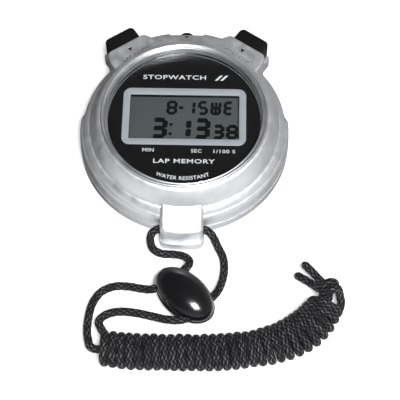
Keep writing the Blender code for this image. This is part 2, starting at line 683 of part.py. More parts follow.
# ---- the neck cord ----
def ellipsoid(name):
    bm = bmesh.new()
    bmesh.ops.create_uvsphere(bm, u_segments=24, v_segments=14, radius=1.0)
    bmesh.ops.scale(bm, vec=scaled(TOGGLE_HALF), verts=bm.verts)
    obj = mesh_object(name, bm)
    obj.matrix_world = (Matrix.Translation(scaled(TOGGLE_CENTRE))
                        @ Matrix.Rotation(math.radians(TOGGLE_TURN), 4, "Z"))
    return obj


def cord_channel(name, start, end):
    return cylinder(name, CORD_R + 0.45, start, end, 16)


def side_slot(name):
    """The long opening on the side where both cords leave the bead."""
    slot = box(name, (-7.6, -9.0, -1.75), (7.6, -2.8, 1.75))
    slot.matrix_world = (Matrix.Translation(scaled((*TOGGLE_CENTRE[:2], 5.0)))
                         @ Matrix.Rotation(math.radians(TOGGLE_TURN), 4, "Z"))
    return slot


def build_toggle():
    """A two-hole bead of two snapped halves, split where the cords pass through."""
    for label, low, high in (("toggle_top", TOGGLE_PARTING_Z + GAP / 2, 20.0),
                             ("toggle_base", -5.0, TOGGLE_PARTING_Z - GAP / 2)):
        half = ellipsoid(label)
        combine(half, box(label + "_side", (-20, -80, low), (25, -30, high)), "INTERSECT")
        cut(half,
            cord_channel(label + "_left_channel", (6.9, -42.5, 5.0), (-13.1, -58.1, 5.0)),
            cord_channel(label + "_right_channel", (12.9, -52.3, 5.0), (-1.1, -67.1, 5.0)),
            side_slot(label + "_side_slot"))
        make_part(half, GLOSS_BLACK)


def build_cords():
    for name, route in (("cord_left", LEFT_ROUTE), ("cord_right", RIGHT_ROUTE)):
        make_part(tube(name, smooth_route(route, 2.4 * CORD_R), CORD_R), CORD_BLACK)
    for name, route in TAIL_ROUTES.items():
        make_part(tube(name, smooth_route(route, 2.4 * CORD_R), CORD_R), CORD_BLACK)
    points = smooth_route(HANK_ROUTE, 5.0)
    hank = tube("lanyard_hank", [(p[0], p[1], 0.0) for p in points], HANK_HALF_WIDTH,
                shares=[p[2] / HANK_HALF_WIDTH for p in points])
    hank.scale = (1.0, 1.0, HANK_HALF_HEIGHT / HANK_HALF_WIDTH)
    hank.location = scaled((0, 0, HANK_Z))
    make_part(hank, CORD_BLACK)


build_front_case()
build_back_case()
build_front_pieces()
build_display_and_board()
build_power()
build_case_screws()
for side, label in ((-1, "left"), (1, "right")):
    build_side_button(side, label)
build_mode_button()
build_toggle()
build_cords()
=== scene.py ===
import math
import random

import bmesh
import bpy
import numpy as np
from mathutils import Matrix, Vector


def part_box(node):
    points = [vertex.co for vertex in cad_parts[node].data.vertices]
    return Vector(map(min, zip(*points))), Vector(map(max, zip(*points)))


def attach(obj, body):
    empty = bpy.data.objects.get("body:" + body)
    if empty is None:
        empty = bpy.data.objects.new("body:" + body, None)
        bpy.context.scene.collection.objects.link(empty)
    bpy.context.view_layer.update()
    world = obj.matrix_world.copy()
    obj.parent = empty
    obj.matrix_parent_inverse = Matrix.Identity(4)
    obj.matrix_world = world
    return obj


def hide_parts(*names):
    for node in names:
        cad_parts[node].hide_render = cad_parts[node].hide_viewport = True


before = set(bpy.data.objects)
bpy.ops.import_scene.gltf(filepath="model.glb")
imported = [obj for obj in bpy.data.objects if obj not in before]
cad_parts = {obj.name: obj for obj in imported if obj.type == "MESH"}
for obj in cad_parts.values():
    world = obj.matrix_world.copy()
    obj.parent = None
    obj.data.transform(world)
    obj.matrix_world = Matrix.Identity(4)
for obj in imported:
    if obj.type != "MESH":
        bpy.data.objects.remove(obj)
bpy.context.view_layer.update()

# Looks of the digital hand stopwatch. Sizes are in millimetres and become metres through MM.
MM = 0.001


def low(node):
    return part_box(node)[0] / MM


def high(node):
    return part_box(node)[1] / MM


def middle(node):
    return (low(node) + high(node)) / 2


# ---- driving dimensions: from the frame where a node gives them ----
SEAM = 0.06                              # half of the visible gap between the two shells
PARTING_Z = low("front_case").z - 0.15
RING_R = high("bezel_ring").x
RING_TOP = high("bezel_ring").z
RIM_Z = RING_TOP - 0.61
CREST_R = RING_R
CREST_Z = RING_TOP - 0.16
FOOT_R = 29.35                           # foot of the dome
FOOT_Z = 11.3
LENS_R = high("lens").x
LENS_Z = (low("lens").z, high("lens").z)
DIAL_Z = (low("dial_plate").z, high("dial_plate").z)
DIAL_R = high("dial_plate").x
FRAME_SIZE = high("window_frame") - low("window_frame")
FRAME_LOW_Z = low("window_frame").z
FRAME_Y = middle("window_frame").y
WINDOW_SIZE = (33.7, 15.8)
LCD_LOW, LCD_HIGH = low("lcd_panel"), high("lcd_panel")
SIDES = (-1, 1)                          # left and right button
CASE_STEPS = 240
BODY_R = 31.5
SKIRT_R = 32.5
CROWN_R = 33.0
CAVITY_R = 28.4
FLOOR_Z = 1.6
BUTTON_ANGLE = 34.0
BUTTON_Z = middle("left_button").z
SHOULDER_U = 34.3
SHOULDER_Z = 13.1
TRAY_U = 39.0
TRAY_Z = 5.5
POCKET_U = 31.1
CAP_U = 39.5
CAP_HALF_WIDTH = 5.3
CAP_HALF_HEIGHT = 3.1
STEM_END_U = 24.1
MODE_Y = high("mode_button").y
NOTCH_Y = 31.7
NOTCH_HALF_WIDTH = 5.4
LUG_HALF_WIDTH = 6.5
LUG_Y = -37.4
LUG_LIP_Y = -38.3
LUG_BACK_Y = -27.2
LUG_Z = 9.0
LUG_SLOPE = 0.27
BORE_R = 1.9
BORE_Y = -33.5
BORE_Z = 4.5
BATTERY_Y = middle("battery_cover").y
COVER_R = 12.0
COVER_Z = (low("battery_cover").z, high("battery_cover").z)
CASE_SCREWS = [middle("case_screw_%d" % number) for number in range(1, 5)]
BOARD_SCREWS = [middle("board_screw_%d" % number) for number in range(1, 5)]
TOGGLE_CENTRE = Vector((1.3, -55.3, 5.3))
TOGGLE_HALF = (10.5, 6.6, 5.1)
TOGGLE_TURN = -43.5                      # degrees
TOGGLE_PARTING_Z = 5.0
CORD_R = 1.25
RING_STEP = 0.3                          # spacing of the cord's rings along it
HANK_HALF_HEIGHT = 4.3
HANK_Z = 4.5

# Routes of the neck cord, from the middle of the lug's bore through the toggle to the hank.
LEFT_ROUTE = (
    (-0.3, -33.5, 4.5), (-3.2, -33.5, 4.5), (-6.9, -33.5, 4.5), (-9.0, -34.6, 3.8),
    (-9.4, -36.6, 2.4), (-8.4, -38.9, 1.6), (-5.8, -40.2, 1.4), (-2.3, -40.4, 1.4),
    (0.8, -41.2, 1.9), (2.6, -43.6, 3.4), (1.5, -46.7, 4.9), (-3.1, -50.3, 5.0),
    (-7.7, -53.4, 4.9), (-11.4, -52.9, 3.7), (-15.2, -51.8, 2.6), (-19.6, -51.7, 2.2),
    (-23.3, -53.5, 2.2), (-25.6, -57.1, 2.4), (-26.5, -61.4, 2.8), (-26.7, -65.6, 3.2),
    (-26.2, -69.2, 3.7), (-24.6, -72.2, 4.2),
)
RIGHT_ROUTE = (
    (0.3, -33.5, 4.5), (3.2, -33.5, 4.5), (6.9, -33.5, 4.5), (9.2, -34.9, 3.7),
    (11.0, -37.9, 1.9), (12.6, -41.2, 1.4), (13.0, -45.2, 1.4), (12.4, -49.4, 1.9),
    (11.2, -53.2, 3.7), (9.2, -56.3, 4.9), (6.1, -59.6, 5.0), (3.4, -62.1, 4.9),
    (0.0, -63.1, 4.6), (-4.0, -62.7, 4.1), (-8.3, -61.6, 3.7), (-12.8, -60.6, 3.5),
    (-17.6, -60.3, 3.5), (-21.4, -61.6, 4.0), (-23.3, -64.3, 4.6), (-23.7, -67.4, 5.0),
)
# Middle line of the hank, with its half width there: (x, y, half width).
HANK_ROUTE = (
    (-21.9, -72.1, 5.5), (-15.3, -72.9, 5.6), (-9.5, -73.1, 5.6), (-2.3, -73.1, 5.6),
    (4.9, -73.1, 5.6), (10.6, -72.9, 5.6), (16.0, -72.4, 5.6), (21.3, -71.6, 5.7),
    (26.5, -70.4, 5.8), (32.0, -68.3, 6.1), (36.6, -65.4, 6.4), (40.2, -61.7, 6.4),
    (42.8, -57.6, 5.6),
)
CORE_END = ((43.8, -54.9, 4.9), (43.0, -52.4, 5.2))
TAIL_UPPER = ((41.9, -50.9, 5.6), (39.3, -47.4, 5.0), (36.4, -43.9, 4.4))
OUTER_STRAND = ((47.3, -57.0, 4.9), (47.1, -55.2, 5.0))
TAIL_LOWER = ((39.2, -50.2, 2.9), (36.6, -48.2, 2.3), (34.2, -46.5, 1.8))
WRAPS = 28.5
KNOT_START, KNOT_END, KNOT_R = Vector((44.7, -54.5, 5.0)), Vector((42.9, -51.2, 5.0)), 2.55


# ---- camera ----
def direction(elevation, azimuth):
    """Unit vector out to a viewpoint; azimuth 0 is in front, and angles are in degrees."""
    elevation, azimuth = math.radians(elevation), math.radians(azimuth)
    return Vector((math.sin(azimuth) * math.cos(elevation),
                   -math.cos(azimuth) * math.cos(elevation), math.sin(elevation)))


def make_camera():
    target = Vector((5.36, -25.01, 7.65)) * MM
    back = direction(61.94, 1.61)
    roll, distance = math.radians(-0.50), 0.4
    right = Vector((0, 0, 1)).cross(back).normalized()
    up = back.cross(right)
    across = math.cos(roll) * right + math.sin(roll) * up
    upward = -math.sin(roll) * right + math.cos(roll) * up
    data = bpy.data.cameras.new("camera")
    data.lens, data.sensor_width = 119.0, 36.0
    data.clip_start, data.clip_end = 0.01, 10.0
    camera = bpy.data.objects.new("camera", data)
    bpy.context.scene.collection.objects.link(camera)
    camera.matrix_world = Matrix.Translation(target + distance * back) @ Matrix(
        (across, upward, back)).transposed().to_4x4()
    bpy.context.scene.camera = camera


# ---- materials ----
def nodes_of(name):
    made = bpy.data.materials.new(name)
    made.use_nodes = True
    return made, made.node_tree.nodes, made.node_tree.links


def noise_of(nodes, links, scale, detail=3.0):
    """Fac of a noise in the object's own coordinates; scale counts its waves in a metre."""
    place = nodes.new("ShaderNodeTexCoord")
    texture = nodes.new("ShaderNodeTexNoise")
    texture.inputs["Scale"].default_value = scale
    texture.inputs["Detail"].default_value = detail
    links.new(place.outputs["Object"], texture.inputs["Vector"])
    return texture.outputs["Fac"]


def ranged(nodes, links, value, low_value, high_value, start=0.3, end=0.7):
    node = nodes.new("ShaderNodeMapRange")
    node.inputs["From Min"].default_value = start
    node.inputs["From Max"].default_value = end
    node.inputs["To Min"].default_value = low_value
    node.inputs["To Max"].default_value = high_value
    links.new(value, node.inputs["Value"])
    return node.outputs["Result"]


def mixed(nodes, links, value, first, second):
    node = nodes.new("ShaderNodeMix")
    node.data_type = "RGBA"
    node.inputs[6].default_value = (*first, 1.0)
    node.inputs[7].default_value = (*second, 1.0)
    links.new(value, node.inputs[0])
    return node.outputs[2]


def added(nodes, links, first, second):
    node = nodes.new("ShaderNodeMath")
    node.operation = "ADD"
    links.new(first, node.inputs[0])
    links.new(second, node.inputs[1])
    return node.outputs[0]


def separated(nodes, links, coordinates):
    """X, Y and Z outputs of a texture coordinate."""
    place = nodes.new("ShaderNodeTexCoord")
    split = nodes.new("ShaderNodeSeparateXYZ")
    links.new(place.outputs[coordinates], split.inputs["Vector"])
    return split.outputs


def bumped(nodes, links, value, strength, distance):
    node = nodes.new("ShaderNodeBump")
    node.inputs["Strength"].default_value = strength
    node.inputs["Distance"].default_value = distance * MM
    links.new(value, node.inputs["Height"])
    return node.outputs["Normal"]


def moulded(name, colour, roughness, metallic=0.0, grain=2500.0, relief=0.02, spread=0.12,
            specular=0.5):
    """A surface with a fine grain: its colour and roughness wander a little, and it has bump."""
    made, nodes, links = nodes_of(name)
    shader = nodes["Principled BSDF"]
    shader.inputs["Metallic"].default_value = metallic
    shader.inputs["Specular IOR Level"].default_value = specular
    fine = noise_of(nodes, links, grain, 2.0)
    broad = noise_of(nodes, links, grain / 14, 4.0)
    darker = tuple(c * (1 - spread) for c in colour)
    lighter = tuple(min(1.0, c * (1 + spread)) for c in colour)
    tone = mixed(nodes, links, ranged(nodes, links, broad, 0, 1), darker, lighter)
    links.new(tone, shader.inputs["Base Color"])
    links.new(ranged(nodes, links, broad, roughness * 0.85, roughness * 1.15),
              shader.inputs["Roughness"])
    links.new(bumped(nodes, links, fine, 0.5, relief), shader.inputs["Normal"])
    return made


def clear_material():
    """A clear lens: what lies behind it shows, under a thin reflection."""
    made, nodes, links = nodes_of("lens_clear")
    nodes.remove(nodes["Principled BSDF"])
    through = nodes.new("ShaderNodeBsdfTransparent")
    gloss = nodes.new("ShaderNodeBsdfGlossy")
    fresnel = nodes.new("ShaderNodeFresnel")
    mix = nodes.new("ShaderNodeMixShader")
    through.inputs["Color"].default_value = (0.97, 0.98, 0.98, 1.0)
    fresnel.inputs["IOR"].default_value = 1.30
    smear = noise_of(nodes, links, 90.0, 3.0)
    links.new(ranged(nodes, links, smear, 0.02, 0.07), gloss.inputs["Roughness"])
    links.new(fresnel.outputs["Fac"], mix.inputs["Fac"])
    links.new(through.outputs["BSDF"], mix.inputs[1])
    links.new(gloss.outputs["BSDF"], mix.inputs[2])
    links.new(mix.outputs["Shader"], nodes["Material Output"].inputs["Surface"])
    return made


def braid_material():
    """Black braid with grey painted highlights on the crowns of its raised strands, in patches;
    the relief is stored on the mesh.
    """
    made, nodes, links = nodes_of("cord_black")
    shader = nodes["Principled BSDF"]
    relief = nodes.new("ShaderNodeAttribute")
    relief.attribute_name = "strand"
    fuzz = noise_of(nodes, links, 5200.0, 2.0)
    patch = noise_of(nodes, links, 420.0, 2.0)
    # Painted highlight: the highest crowns of the strands turn grey, in patches set by a noise.
    painted_glint_mask = nodes.new("ShaderNodeMath")
    painted_glint_mask.operation = "MULTIPLY"
    links.new(ranged(nodes, links, relief.outputs["Fac"], 0.0, 1.0, 0.72, 1.0), painted_glint_mask.inputs[0])
    links.new(ranged(nodes, links, patch, 0.2, 1.0, 0.35, 0.6), painted_glint_mask.inputs[1])
    links.new(mixed(nodes, links, painted_glint_mask.outputs[0], CORD_DARK, CORD_PAINTED_GLINT),
              shader.inputs["Base Color"])
    links.new(ranged(nodes, links, fuzz, 0.62, 0.85), shader.inputs["Roughness"])
    links.new(bumped(nodes, links, fuzz, 0.6, 0.08), shader.inputs["Normal"])
    shader.inputs["Sheen Weight"].default_value = 0.02
    shader.inputs["Specular IOR Level"].default_value = 0.18
    return made


def board_material():
    """Green solder mask with copper tracks showing faintly under it."""
    made, nodes, links = nodes_of("board_green")
    shader = nodes["Principled BSDF"]
    place = nodes.new("ShaderNodeTexCoord")
    tracks = nodes.new("ShaderNodeTexBrick")
    tracks.inputs["Scale"].default_value = 260.0
    tracks.inputs["Mortar Size"].default_value = 0.03
    tracks.inputs["Color1"].default_value = (0.010, 0.090, 0.035, 1)
    tracks.inputs["Color2"].default_value = (0.014, 0.110, 0.045, 1)
    tracks.inputs["Mortar"].default_value = (0.035, 0.200, 0.080, 1)
    links.new(place.outputs["Object"], tracks.inputs["Vector"])
    links.new(tracks.outputs["Color"], shader.inputs["Base Color"])
    links.new(ranged(nodes, links, noise_of(nodes, links, 900.0), 0.3, 0.5),
              shader.inputs["Roughness"])
    return made


CORD_DARK = (0.0026, 0.0026, 0.0032)
# Grey of the painted highlights on the braid's strand crowns.
CORD_PAINTED_GLINT = (0.10, 0.10, 0.11)
SILVER = moulded("silver_paint", (0.60, 0.61, 0.63), 0.50, 0.9, 5200.0, 0.008, 0.04)
CHROME = moulded("bright_ring", (0.66, 0.67, 0.69), 0.36, 1.0, 3000.0, 0.003, 0.04)
BUTTON_BLACK = moulded("button_black", (0.004, 0.004, 0.004), 0.42, 0.0, 2600.0, 0.02,
                       specular=0.2)
TOGGLE_BLACK = moulded("toggle_black", (0.004, 0.004, 0.005), 0.17, 0.0, 900.0, 0.004)
# Lower half of the bead: a separate part, its tone a little lighter than the top as a painted
# reflection of the floor along its lower rim.
TOGGLE_BASE_WITH_PAINTED_REFLECTION = moulded("toggle_base", (0.016, 0.016, 0.018), 0.30, 0.0, 1500.0, 0.01)
DIAL_BLACK = moulded("dial_print", (0.0036, 0.0034, 0.0040), 0.34, 0.0, 4200.0, 0.003,
                     specular=0.25)
FRAME_GREY = moulded("frame_grey", (0.29, 0.30, 0.32), 0.48, 0.0, 3200.0, 0.008, 0.03)
DISPLAY = moulded("display_glass", (0.064, 0.073, 0.071), 0.22, 0.0, 700.0, 0.001, 0.05)
SEGMENT = moulded("segment_black", (0.002, 0.003, 0.003), 0.45, 0.0, 2000.0, 0.001,
                  specular=0.1)
PRINT_WHITE = moulded("print_white", (0.62, 0.63, 0.65), 0.55, 0.0, 5000.0, 0.004, 0.06)
PRINT_BLACK = moulded("print_black", (0.006, 0.006, 0.007), 0.5, 0.0, 5000.0, 0.004)
PRINT_DIM = moulded("print_dim", (0.06, 0.06, 0.065), 0.5, 0.0, 5000.0, 0.004)
RUBBER = moulded("seal_rubber", (0.02, 0.02, 0.02), 0.75, 0.0, 1800.0, 0.03)
STEEL = moulded("screw_steel", (0.52, 0.52, 0.53), 0.28, 1.0, 4000.0, 0.004, 0.1)
BRASS = moulded("buzzer_brass", (0.60, 0.42, 0.17), 0.30, 1.0, 1200.0, 0.006, 0.15)
RESIN = moulded("chip_resin", (0.010, 0.010, 0.011), 0.38, 0.0, 1500.0, 0.02)
CERAMIC = moulded("ceramic_tan", (0.36, 0.25, 0.14), 0.55, 0.0, 3000.0, 0.01)
HOLDER = moulded("holder_white", (0.70, 0.70, 0.67), 0.5, 0.0, 2200.0, 0.01, 0.04)
BOARD = board_material()
LENS = clear_material()
CORD = braid_material()


# ---- mesh helpers ----
def link(obj):
    bpy.context.scene.collection.objects.link(obj)
    return obj


def mesh_object(name, bm):
    bmesh.ops.recalc_face_normals(bm, faces=bm.faces)
    mesh = bpy.data.meshes.new(name)
    bm.to_mesh(mesh)
    bm.free()
    return link(bpy.data.objects.new(name, mesh))


def add_bevel(obj, width, segments=4, angle=30.0):
    if width > 0:
        bevel = obj.modifiers.new("rounded edges", "BEVEL")
        bevel.width, bevel.segments = width * MM, segments
        bevel.limit_method, bevel.angle_limit = "ANGLE", math.radians(angle)
    return obj


def box(name, first, second, bevel=0.0):
    bm = bmesh.new()
    bmesh.ops.create_cube(bm, size=1.0)
    first, second = Vector(first), Vector(second)
    bmesh.ops.scale(bm, vec=(second - first) * MM, verts=bm.verts)
    bmesh.ops.translate(bm, vec=(second + first) / 2 * MM, verts=bm.verts)
    return add_bevel(mesh_object(name, bm), bevel)


def cylinder(name, radius, start, end, segments=32, bevel=0.0):
    start, end = Vector(start) * MM, Vector(end) * MM
    bm = bmesh.new()
    bmesh.ops.create_cone(bm, cap_ends=True, segments=segments, radius1=radius * MM,
                          radius2=radius * MM, depth=(end - start).length)
    turn = (end - start).to_track_quat("Z", "Y").to_matrix().to_4x4()
    bmesh.ops.transform(bm, matrix=Matrix.Translation((start + end) / 2) @ turn, verts=bm.verts)
    return add_bevel(mesh_object(name, bm), bevel)


def rings(name, loops, closed=False):
    """Skin through loops of equally many points; closed joins the last loop to the first."""
    bm = bmesh.new()
    made = [[bm.verts.new(Vector(p) * MM) for p in loop] for loop in loops]
    pairs = list(zip(made, made[1:]))
    if closed:
        pairs.append((made[-1], made[0]))
    for first, second in pairs:
        for index in range(len(first)):
            after = (index + 1) % len(first)
            bm.faces.new((first[index], first[after], second[after], second[index]))
    if not closed:
        bm.faces.new(made[0])
        bm.faces.new(made[-1])
    return mesh_object(name, bm)


def turned(name, profile, segments=192, centre=(0.0, 0.0)):
    """Turn (radius, z) points about a vertical axis; a profile off the axis is closed."""
    on_axis = profile[0][0] == 0.0
    loops = [[(centre[0] + radius * math.cos(2 * math.pi * step / segments),
               centre[1] + radius * math.sin(2 * math.pi * step / segments), z)
              for step in range(segments)] for radius, z in profile if radius > 0.0]
    return rings(name, loops, closed=not on_axis)


def arc(centre, radius, start, end, steps=5):
    return [(centre[0] + radius * math.cos(math.radians(start + (end - start) * s / steps)),
             centre[1] + radius * math.sin(math.radians(start + (end - start) * s / steps)))
            for s in range(steps + 1)]


def prism(name, outline, bottom, top, bevel=0.0, segments=4, angle=30.0):
    bm = bmesh.new()
    face = bm.faces.new([bm.verts.new(Vector((x, y, bottom)) * MM) for x, y in outline])
    raised = bmesh.ops.extrude_face_region(bm, geom=[face])["geom"]
    bmesh.ops.translate(bm, vec=(0, 0, (top - bottom) * MM),
                        verts=[v for v in raised if isinstance(v, bmesh.types.BMVert)])
    return add_bevel(mesh_object(name, bm), bevel, segments, angle)


def rounded_rectangle(width, height, radius, steps=8, middle_y=0.0):
    outline = []
    for side_x, side_y, start in ((1, 1, 0), (-1, 1, 90), (-1, -1, 180), (1, -1, 270)):
        corner = (side_x * (width / 2 - radius), middle_y + side_y * (height / 2 - radius))
        outline += arc(corner, radius, start, start + 90, steps)
    return outline


def moved(x, y, z, degrees=0.0, axis="Z"):
    """Matrix that turns about an axis of its own and then shifts, in millimetres."""
    return (Matrix.Translation(Vector((x, y, z)) * MM)
            @ Matrix.Rotation(math.radians(degrees), 4, axis))


def placed(obj, matrix):
    obj.matrix_world = matrix @ obj.matrix_world
    return obj


def boolean(obj, other, operation):
    modifier = obj.modifiers.new(operation, "BOOLEAN")
    modifier.operation, modifier.object, modifier.solver = operation, other, "EXACT"
    other.hide_render = other.hide_viewport = True
    TOOLS.append(other)


def cut(obj, *others):
    for other in others:
        boolean(obj, other, "DIFFERENCE")


def join(obj, *others):
    for other in others:
        boolean(obj, other, "UNION")


TOOLS = []


def settle(obj):
    """Apply the modifiers and the transform, and drop the objects that only shaped it."""
    bpy.context.view_layer.update()
    graph = bpy.context.evaluated_depsgraph_get()
    mesh = bpy.data.meshes.new_from_object(obj.evaluated_get(graph))
    mesh.transform(obj.matrix_world)
    obj.modifiers.clear()
    obj.data = mesh
    obj.matrix_world = Matrix.Identity(4)
    while TOOLS:
        bpy.data.objects.remove(TOOLS.pop(), do_unlink=True)
    return obj


def finished(obj, material, body, replaced=(), sharp=32.0, weighted=False):
    """Settle a piece, shade it, paint it, parent it to the body it rides on, and hide the CAD
    parts it stands for.
    """
    settle(obj)
    obj.data.shade_smooth()
    obj.data.set_sharp_from_angle(angle=math.radians(sharp))
    if weighted:
        obj.modifiers.new("even shading", "WEIGHTED_NORMAL").keep_sharp = True
    obj.data.materials.clear()
    obj.data.materials.append(material)
    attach(obj, body)
    if replaced:
        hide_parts(*replaced)
    return obj


# ---- cords ----
def distance_along(line):
    return np.concatenate([[0], np.cumsum(np.linalg.norm(np.diff(line, axis=0), axis=1))])


def tangents(line):
    made = np.gradient(line, axis=0)
    return made / np.linalg.norm(made, axis=1)[:, None]


def smooth(points, spacing):
    """Points every `spacing` along a Catmull-Rom curve through the given ones."""
    knots = [Vector(p) for p in points]
    knots = [2 * knots[0] - knots[1]] + knots + [2 * knots[-1] - knots[-2]]
    fine = []
    for before, start, end, after in zip(knots, knots[1:], knots[2:], knots[3:]):
        for step in range(40):
            t = step / 40
            fine.append(0.5 * (2 * start + (end - before) * t
                               + (2 * before - 5 * start + 4 * end - after) * t ** 2
                               + (3 * start - before - 3 * end + after) * t ** 3))
    fine.append(knots[-2])
    line = np.array(fine)
    along = distance_along(line)
    even = np.linspace(0, along[-1], max(2, round(along[-1] / spacing)) + 1)
    return np.stack([np.interp(even, along, line[:, axis]) for axis in range(3)], axis=1)


def braided(name, line):
    """A tube along a line (metres) with a diamond braid in relief, kept as attribute strand."""
    sides, strands, lay = 30, 6, 2.3 * MM
    radius, depth = CORD_R * MM, 0.16 * MM
    tangent = tangents(line)
    normal = np.zeros_like(line)
    start = np.cross(tangent[0], (0, 0, 1.0))
    normal[0] = start / np.linalg.norm(start)
    for index in range(1, len(line)):
        n = normal[index - 1] - tangent[index] * (normal[index - 1] @ tangent[index])
        normal[index] = n / np.linalg.norm(n)
    side = np.cross(tangent, normal)
    along = distance_along(line)
    turn = np.linspace(0, 2 * math.pi, sides, endpoint=False)[None, :]
    first = strands * turn / (2 * math.pi) + along[:, None] / lay
    second = strands * turn / (2 * math.pi) - along[:, None] / lay
    over = (np.floor(first) + np.floor(second)) % 2 == 0
    crown = np.where(over, np.sin(math.pi * (first % 1.0)), np.sin(math.pi * (second % 1.0)))
    ends = np.minimum(along, along[-1] - along)[:, None] / (0.9 * CORD_R * MM)
    tip = np.sqrt(1 - (1 - np.clip(ends, 0.12, 1.0)) ** 2)
    size = (radius - depth + depth * crown ** 0.7) * tip
    points = (line[:, None, :] + size[..., None] * (
        np.cos(turn)[..., None] * normal[:, None, :] + np.sin(turn)[..., None] * side[:, None, :]))
    count = len(line)
    index = np.arange(count * sides).reshape(count, sides)
    following = np.roll(index, -1, axis=1)
    faces = np.stack([index[:-1], following[:-1], following[1:], index[1:]], axis=-1)
    faces = faces.reshape(-1, 4).tolist() + [index[0][::-1].tolist(), index[-1].tolist()]
    mesh = bpy.data.meshes.new("braid")
    mesh.from_pydata(points.reshape(-1, 3).tolist(), [], faces)
    mesh.attributes.new("strand", "FLOAT", "POINT").data.foreach_set(
        "value", crown.astype(np.float32).ravel())
    bm = bmesh.new()
    bm.from_mesh(mesh)
    bpy.data.meshes.remove(mesh)
    return mesh_object(name, bm)


def hank_frame(spacing):
    """Centre line of the hank, the level direction across it, and its half widths."""
    route = smooth(HANK_ROUTE, spacing)
    line = np.stack([route[:, 0], route[:, 1], np.full(len(route), HANK_Z)], axis=1)
    tangent = tangents(line)
    across = np.stack([-tangent[:, 1], tangent[:, 0], np.zeros(len(line))], axis=1)
    return line, across, route[:, 2]


def wrap_line():
    """Turns of the cord round the hank's core, hand wound: size and place wander a little."""
    chance = random.Random(7)
    line, across, widths = hank_frame(0.1)
    along = np.linspace(0, 1, len(line))
    per_turn = 40
    wobble = [[chance.uniform(-1, 1) for _ in range(3)] for _ in range(int(WRAPS) + 2)]
    points = []
    for step in range(int(WRAPS * per_turn) + 1):
        turn = step / per_turn
        number, ease = int(turn), step_up(turn % 1.0, 0.0, 1.0)
        width, height, lean = (
            wobble[number][k] * (1 - ease) + wobble[number + 1][k] * ease for k in range(3))
        loose = 0.3 + 0.7 * turn / WRAPS
        angle = 2 * math.pi * turn
        place = min(1.0, max(0.0, (turn + 0.10 * lean * loose * math.sin(angle)) / WRAPS))
        centre = np.array([np.interp(place, along, line[:, k]) for k in range(3)])
        aside = np.array([np.interp(place, along, across[:, k]) for k in range(3)])
        half_width = np.interp(place, along, widths) - CORD_R + 0.32 * width * loose
        half_height = HANK_HALF_HEIGHT - CORD_R + 0.10 * height
        points.append(centre + aside * half_width * math.cos(angle)
                      + np.array((0, 0, half_height * math.sin(angle))))
    return points


def knot_line():
    """One and a half turns round the core's end, which hold the hank."""
    along = (KNOT_END - KNOT_START).normalized()
    aside = Vector((along.y, -along.x, 0))
    points = []
    for step in range(2, 37):
        turn = 3 * math.pi * step / 36
        points.append(KNOT_START.lerp(KNOT_END, step / 36)
                      + KNOT_R * (math.cos(turn) * aside + Vector((0, 0, math.sin(turn)))))
    return points


def build_cords():
    """Both strands of the neck cord: the left one is the hank's core, the right one winds."""
    core, _, _ = hank_frame(2.0)
    left = smooth([Vector(p) for p in (*LEFT_ROUTE, *core[2:-1], *CORE_END, *TAIL_UPPER)],
                  RING_STEP) * MM
    right = smooth([Vector(p) for p in (*RIGHT_ROUTE[:-1], *wrap_line(), *OUTER_STRAND,
                                        *knot_line(), *TAIL_LOWER)], RING_STEP) * MM
    pieces = []
    for name, line, nodes in (
            ("cord_left_strand", left, ("cord_left", "cord_tail_upper")),
            ("cord_right_strand", right, ("cord_right", "cord_tail_lower", "lanyard_hank"))):
        piece = braided(name, line)
        piece.data.shade_smooth()
        piece.data.materials.append(CORD)
        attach(piece, "case")
        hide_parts(*nodes)
        pieces.append(piece)
    return pieces, (left, right)


# ---- case ----
def shoulder_frame(side):
    """Matrix whose X runs out along a side button's travel; side is -1 or +1."""
    angle = math.radians(BUTTON_ANGLE)
    out = Vector((side * math.sin(angle), math.cos(angle), 0))
    return Matrix((out, Vector((-out.y, out.x, 0)), Vector((0, 0, 1)))).transposed().to_4x4()


def dome_radius(z):
    drop = (CREST_Z - z) / (CREST_Z - FOOT_Z)
    return CREST_R + (FOOT_R - CREST_R) * drop ** 0.65


DOME = [(RING_R + 0.16, RIM_Z - 0.05), (RING_R + 0.26, RIM_Z)] + [
    (dome_radius(z), z) for z in (16.25, 16.0, 15.7, 15.3, 14.9, 14.4, 13.9)]


def skirt_profile():
    lower = [(dome_radius(z), z) for z in (13.2, 12.4, 11.8)]
    groove = [(29.22, 11.35), (29.27, 11.0), (29.42, 10.82), (29.72, 10.83)]
    band = [(30.15, 10.58), (30.6, 10.18), (31.0, 9.74), (31.28, 9.36)]
    lip = [(31.40, 9.14), (31.42, 8.98), (31.52, 8.86), (31.78, 8.75), (32.12, 8.45)]
    wall = [(32.36, 8.0), (32.47, 7.3), (32.5, 5.6)]
    return DOME + lower + groove + band + lip + wall + [(SKIRT_R, PARTING_Z)]


def plain_profile():
    upper = [(dome_radius(z), z) for z in (13.2, 12.4, 11.8, 11.35)]
    side = [(29.65, 11.05), (30.0, 10.75), (30.35, 10.45), (30.65, 10.15), (30.92, 9.85),
            (31.12, 9.55), (31.26, 9.25), (31.36, 8.95), (31.42, 8.62), (31.46, 8.2),
            (31.48, 7.7), (BODY_R, 7.2), (BODY_R, 6.6), (BODY_R, 5.8), (BODY_R, 5.0)]
    return DOME + upper + side + [(BODY_R, PARTING_Z)]


def crown_profile():
    flat = [(28.42, 13.5), (28.75, 13.41), (29.1, 13.34), (29.5, 13.28), (30.0, 13.2),
            (30.6, 13.12), (31.1, 13.04), (31.7, 12.94), (32.2, 12.84)]
    edge = arc((32.35, 12.15), 0.65, 78, 0, 5)
    wall = [(CROWN_R, 10.6), (CROWN_R, 8.6), (CROWN_R, 6.4), (CROWN_R, 4.8)]
    return DOME + flat + edge + wall + [(CROWN_R, PARTING_Z)]


def step_up(value, start, end):
    t = min(1.0, max(0.0, (value - start) / (end - start)))
    return t * t * (3 - 2 * t)


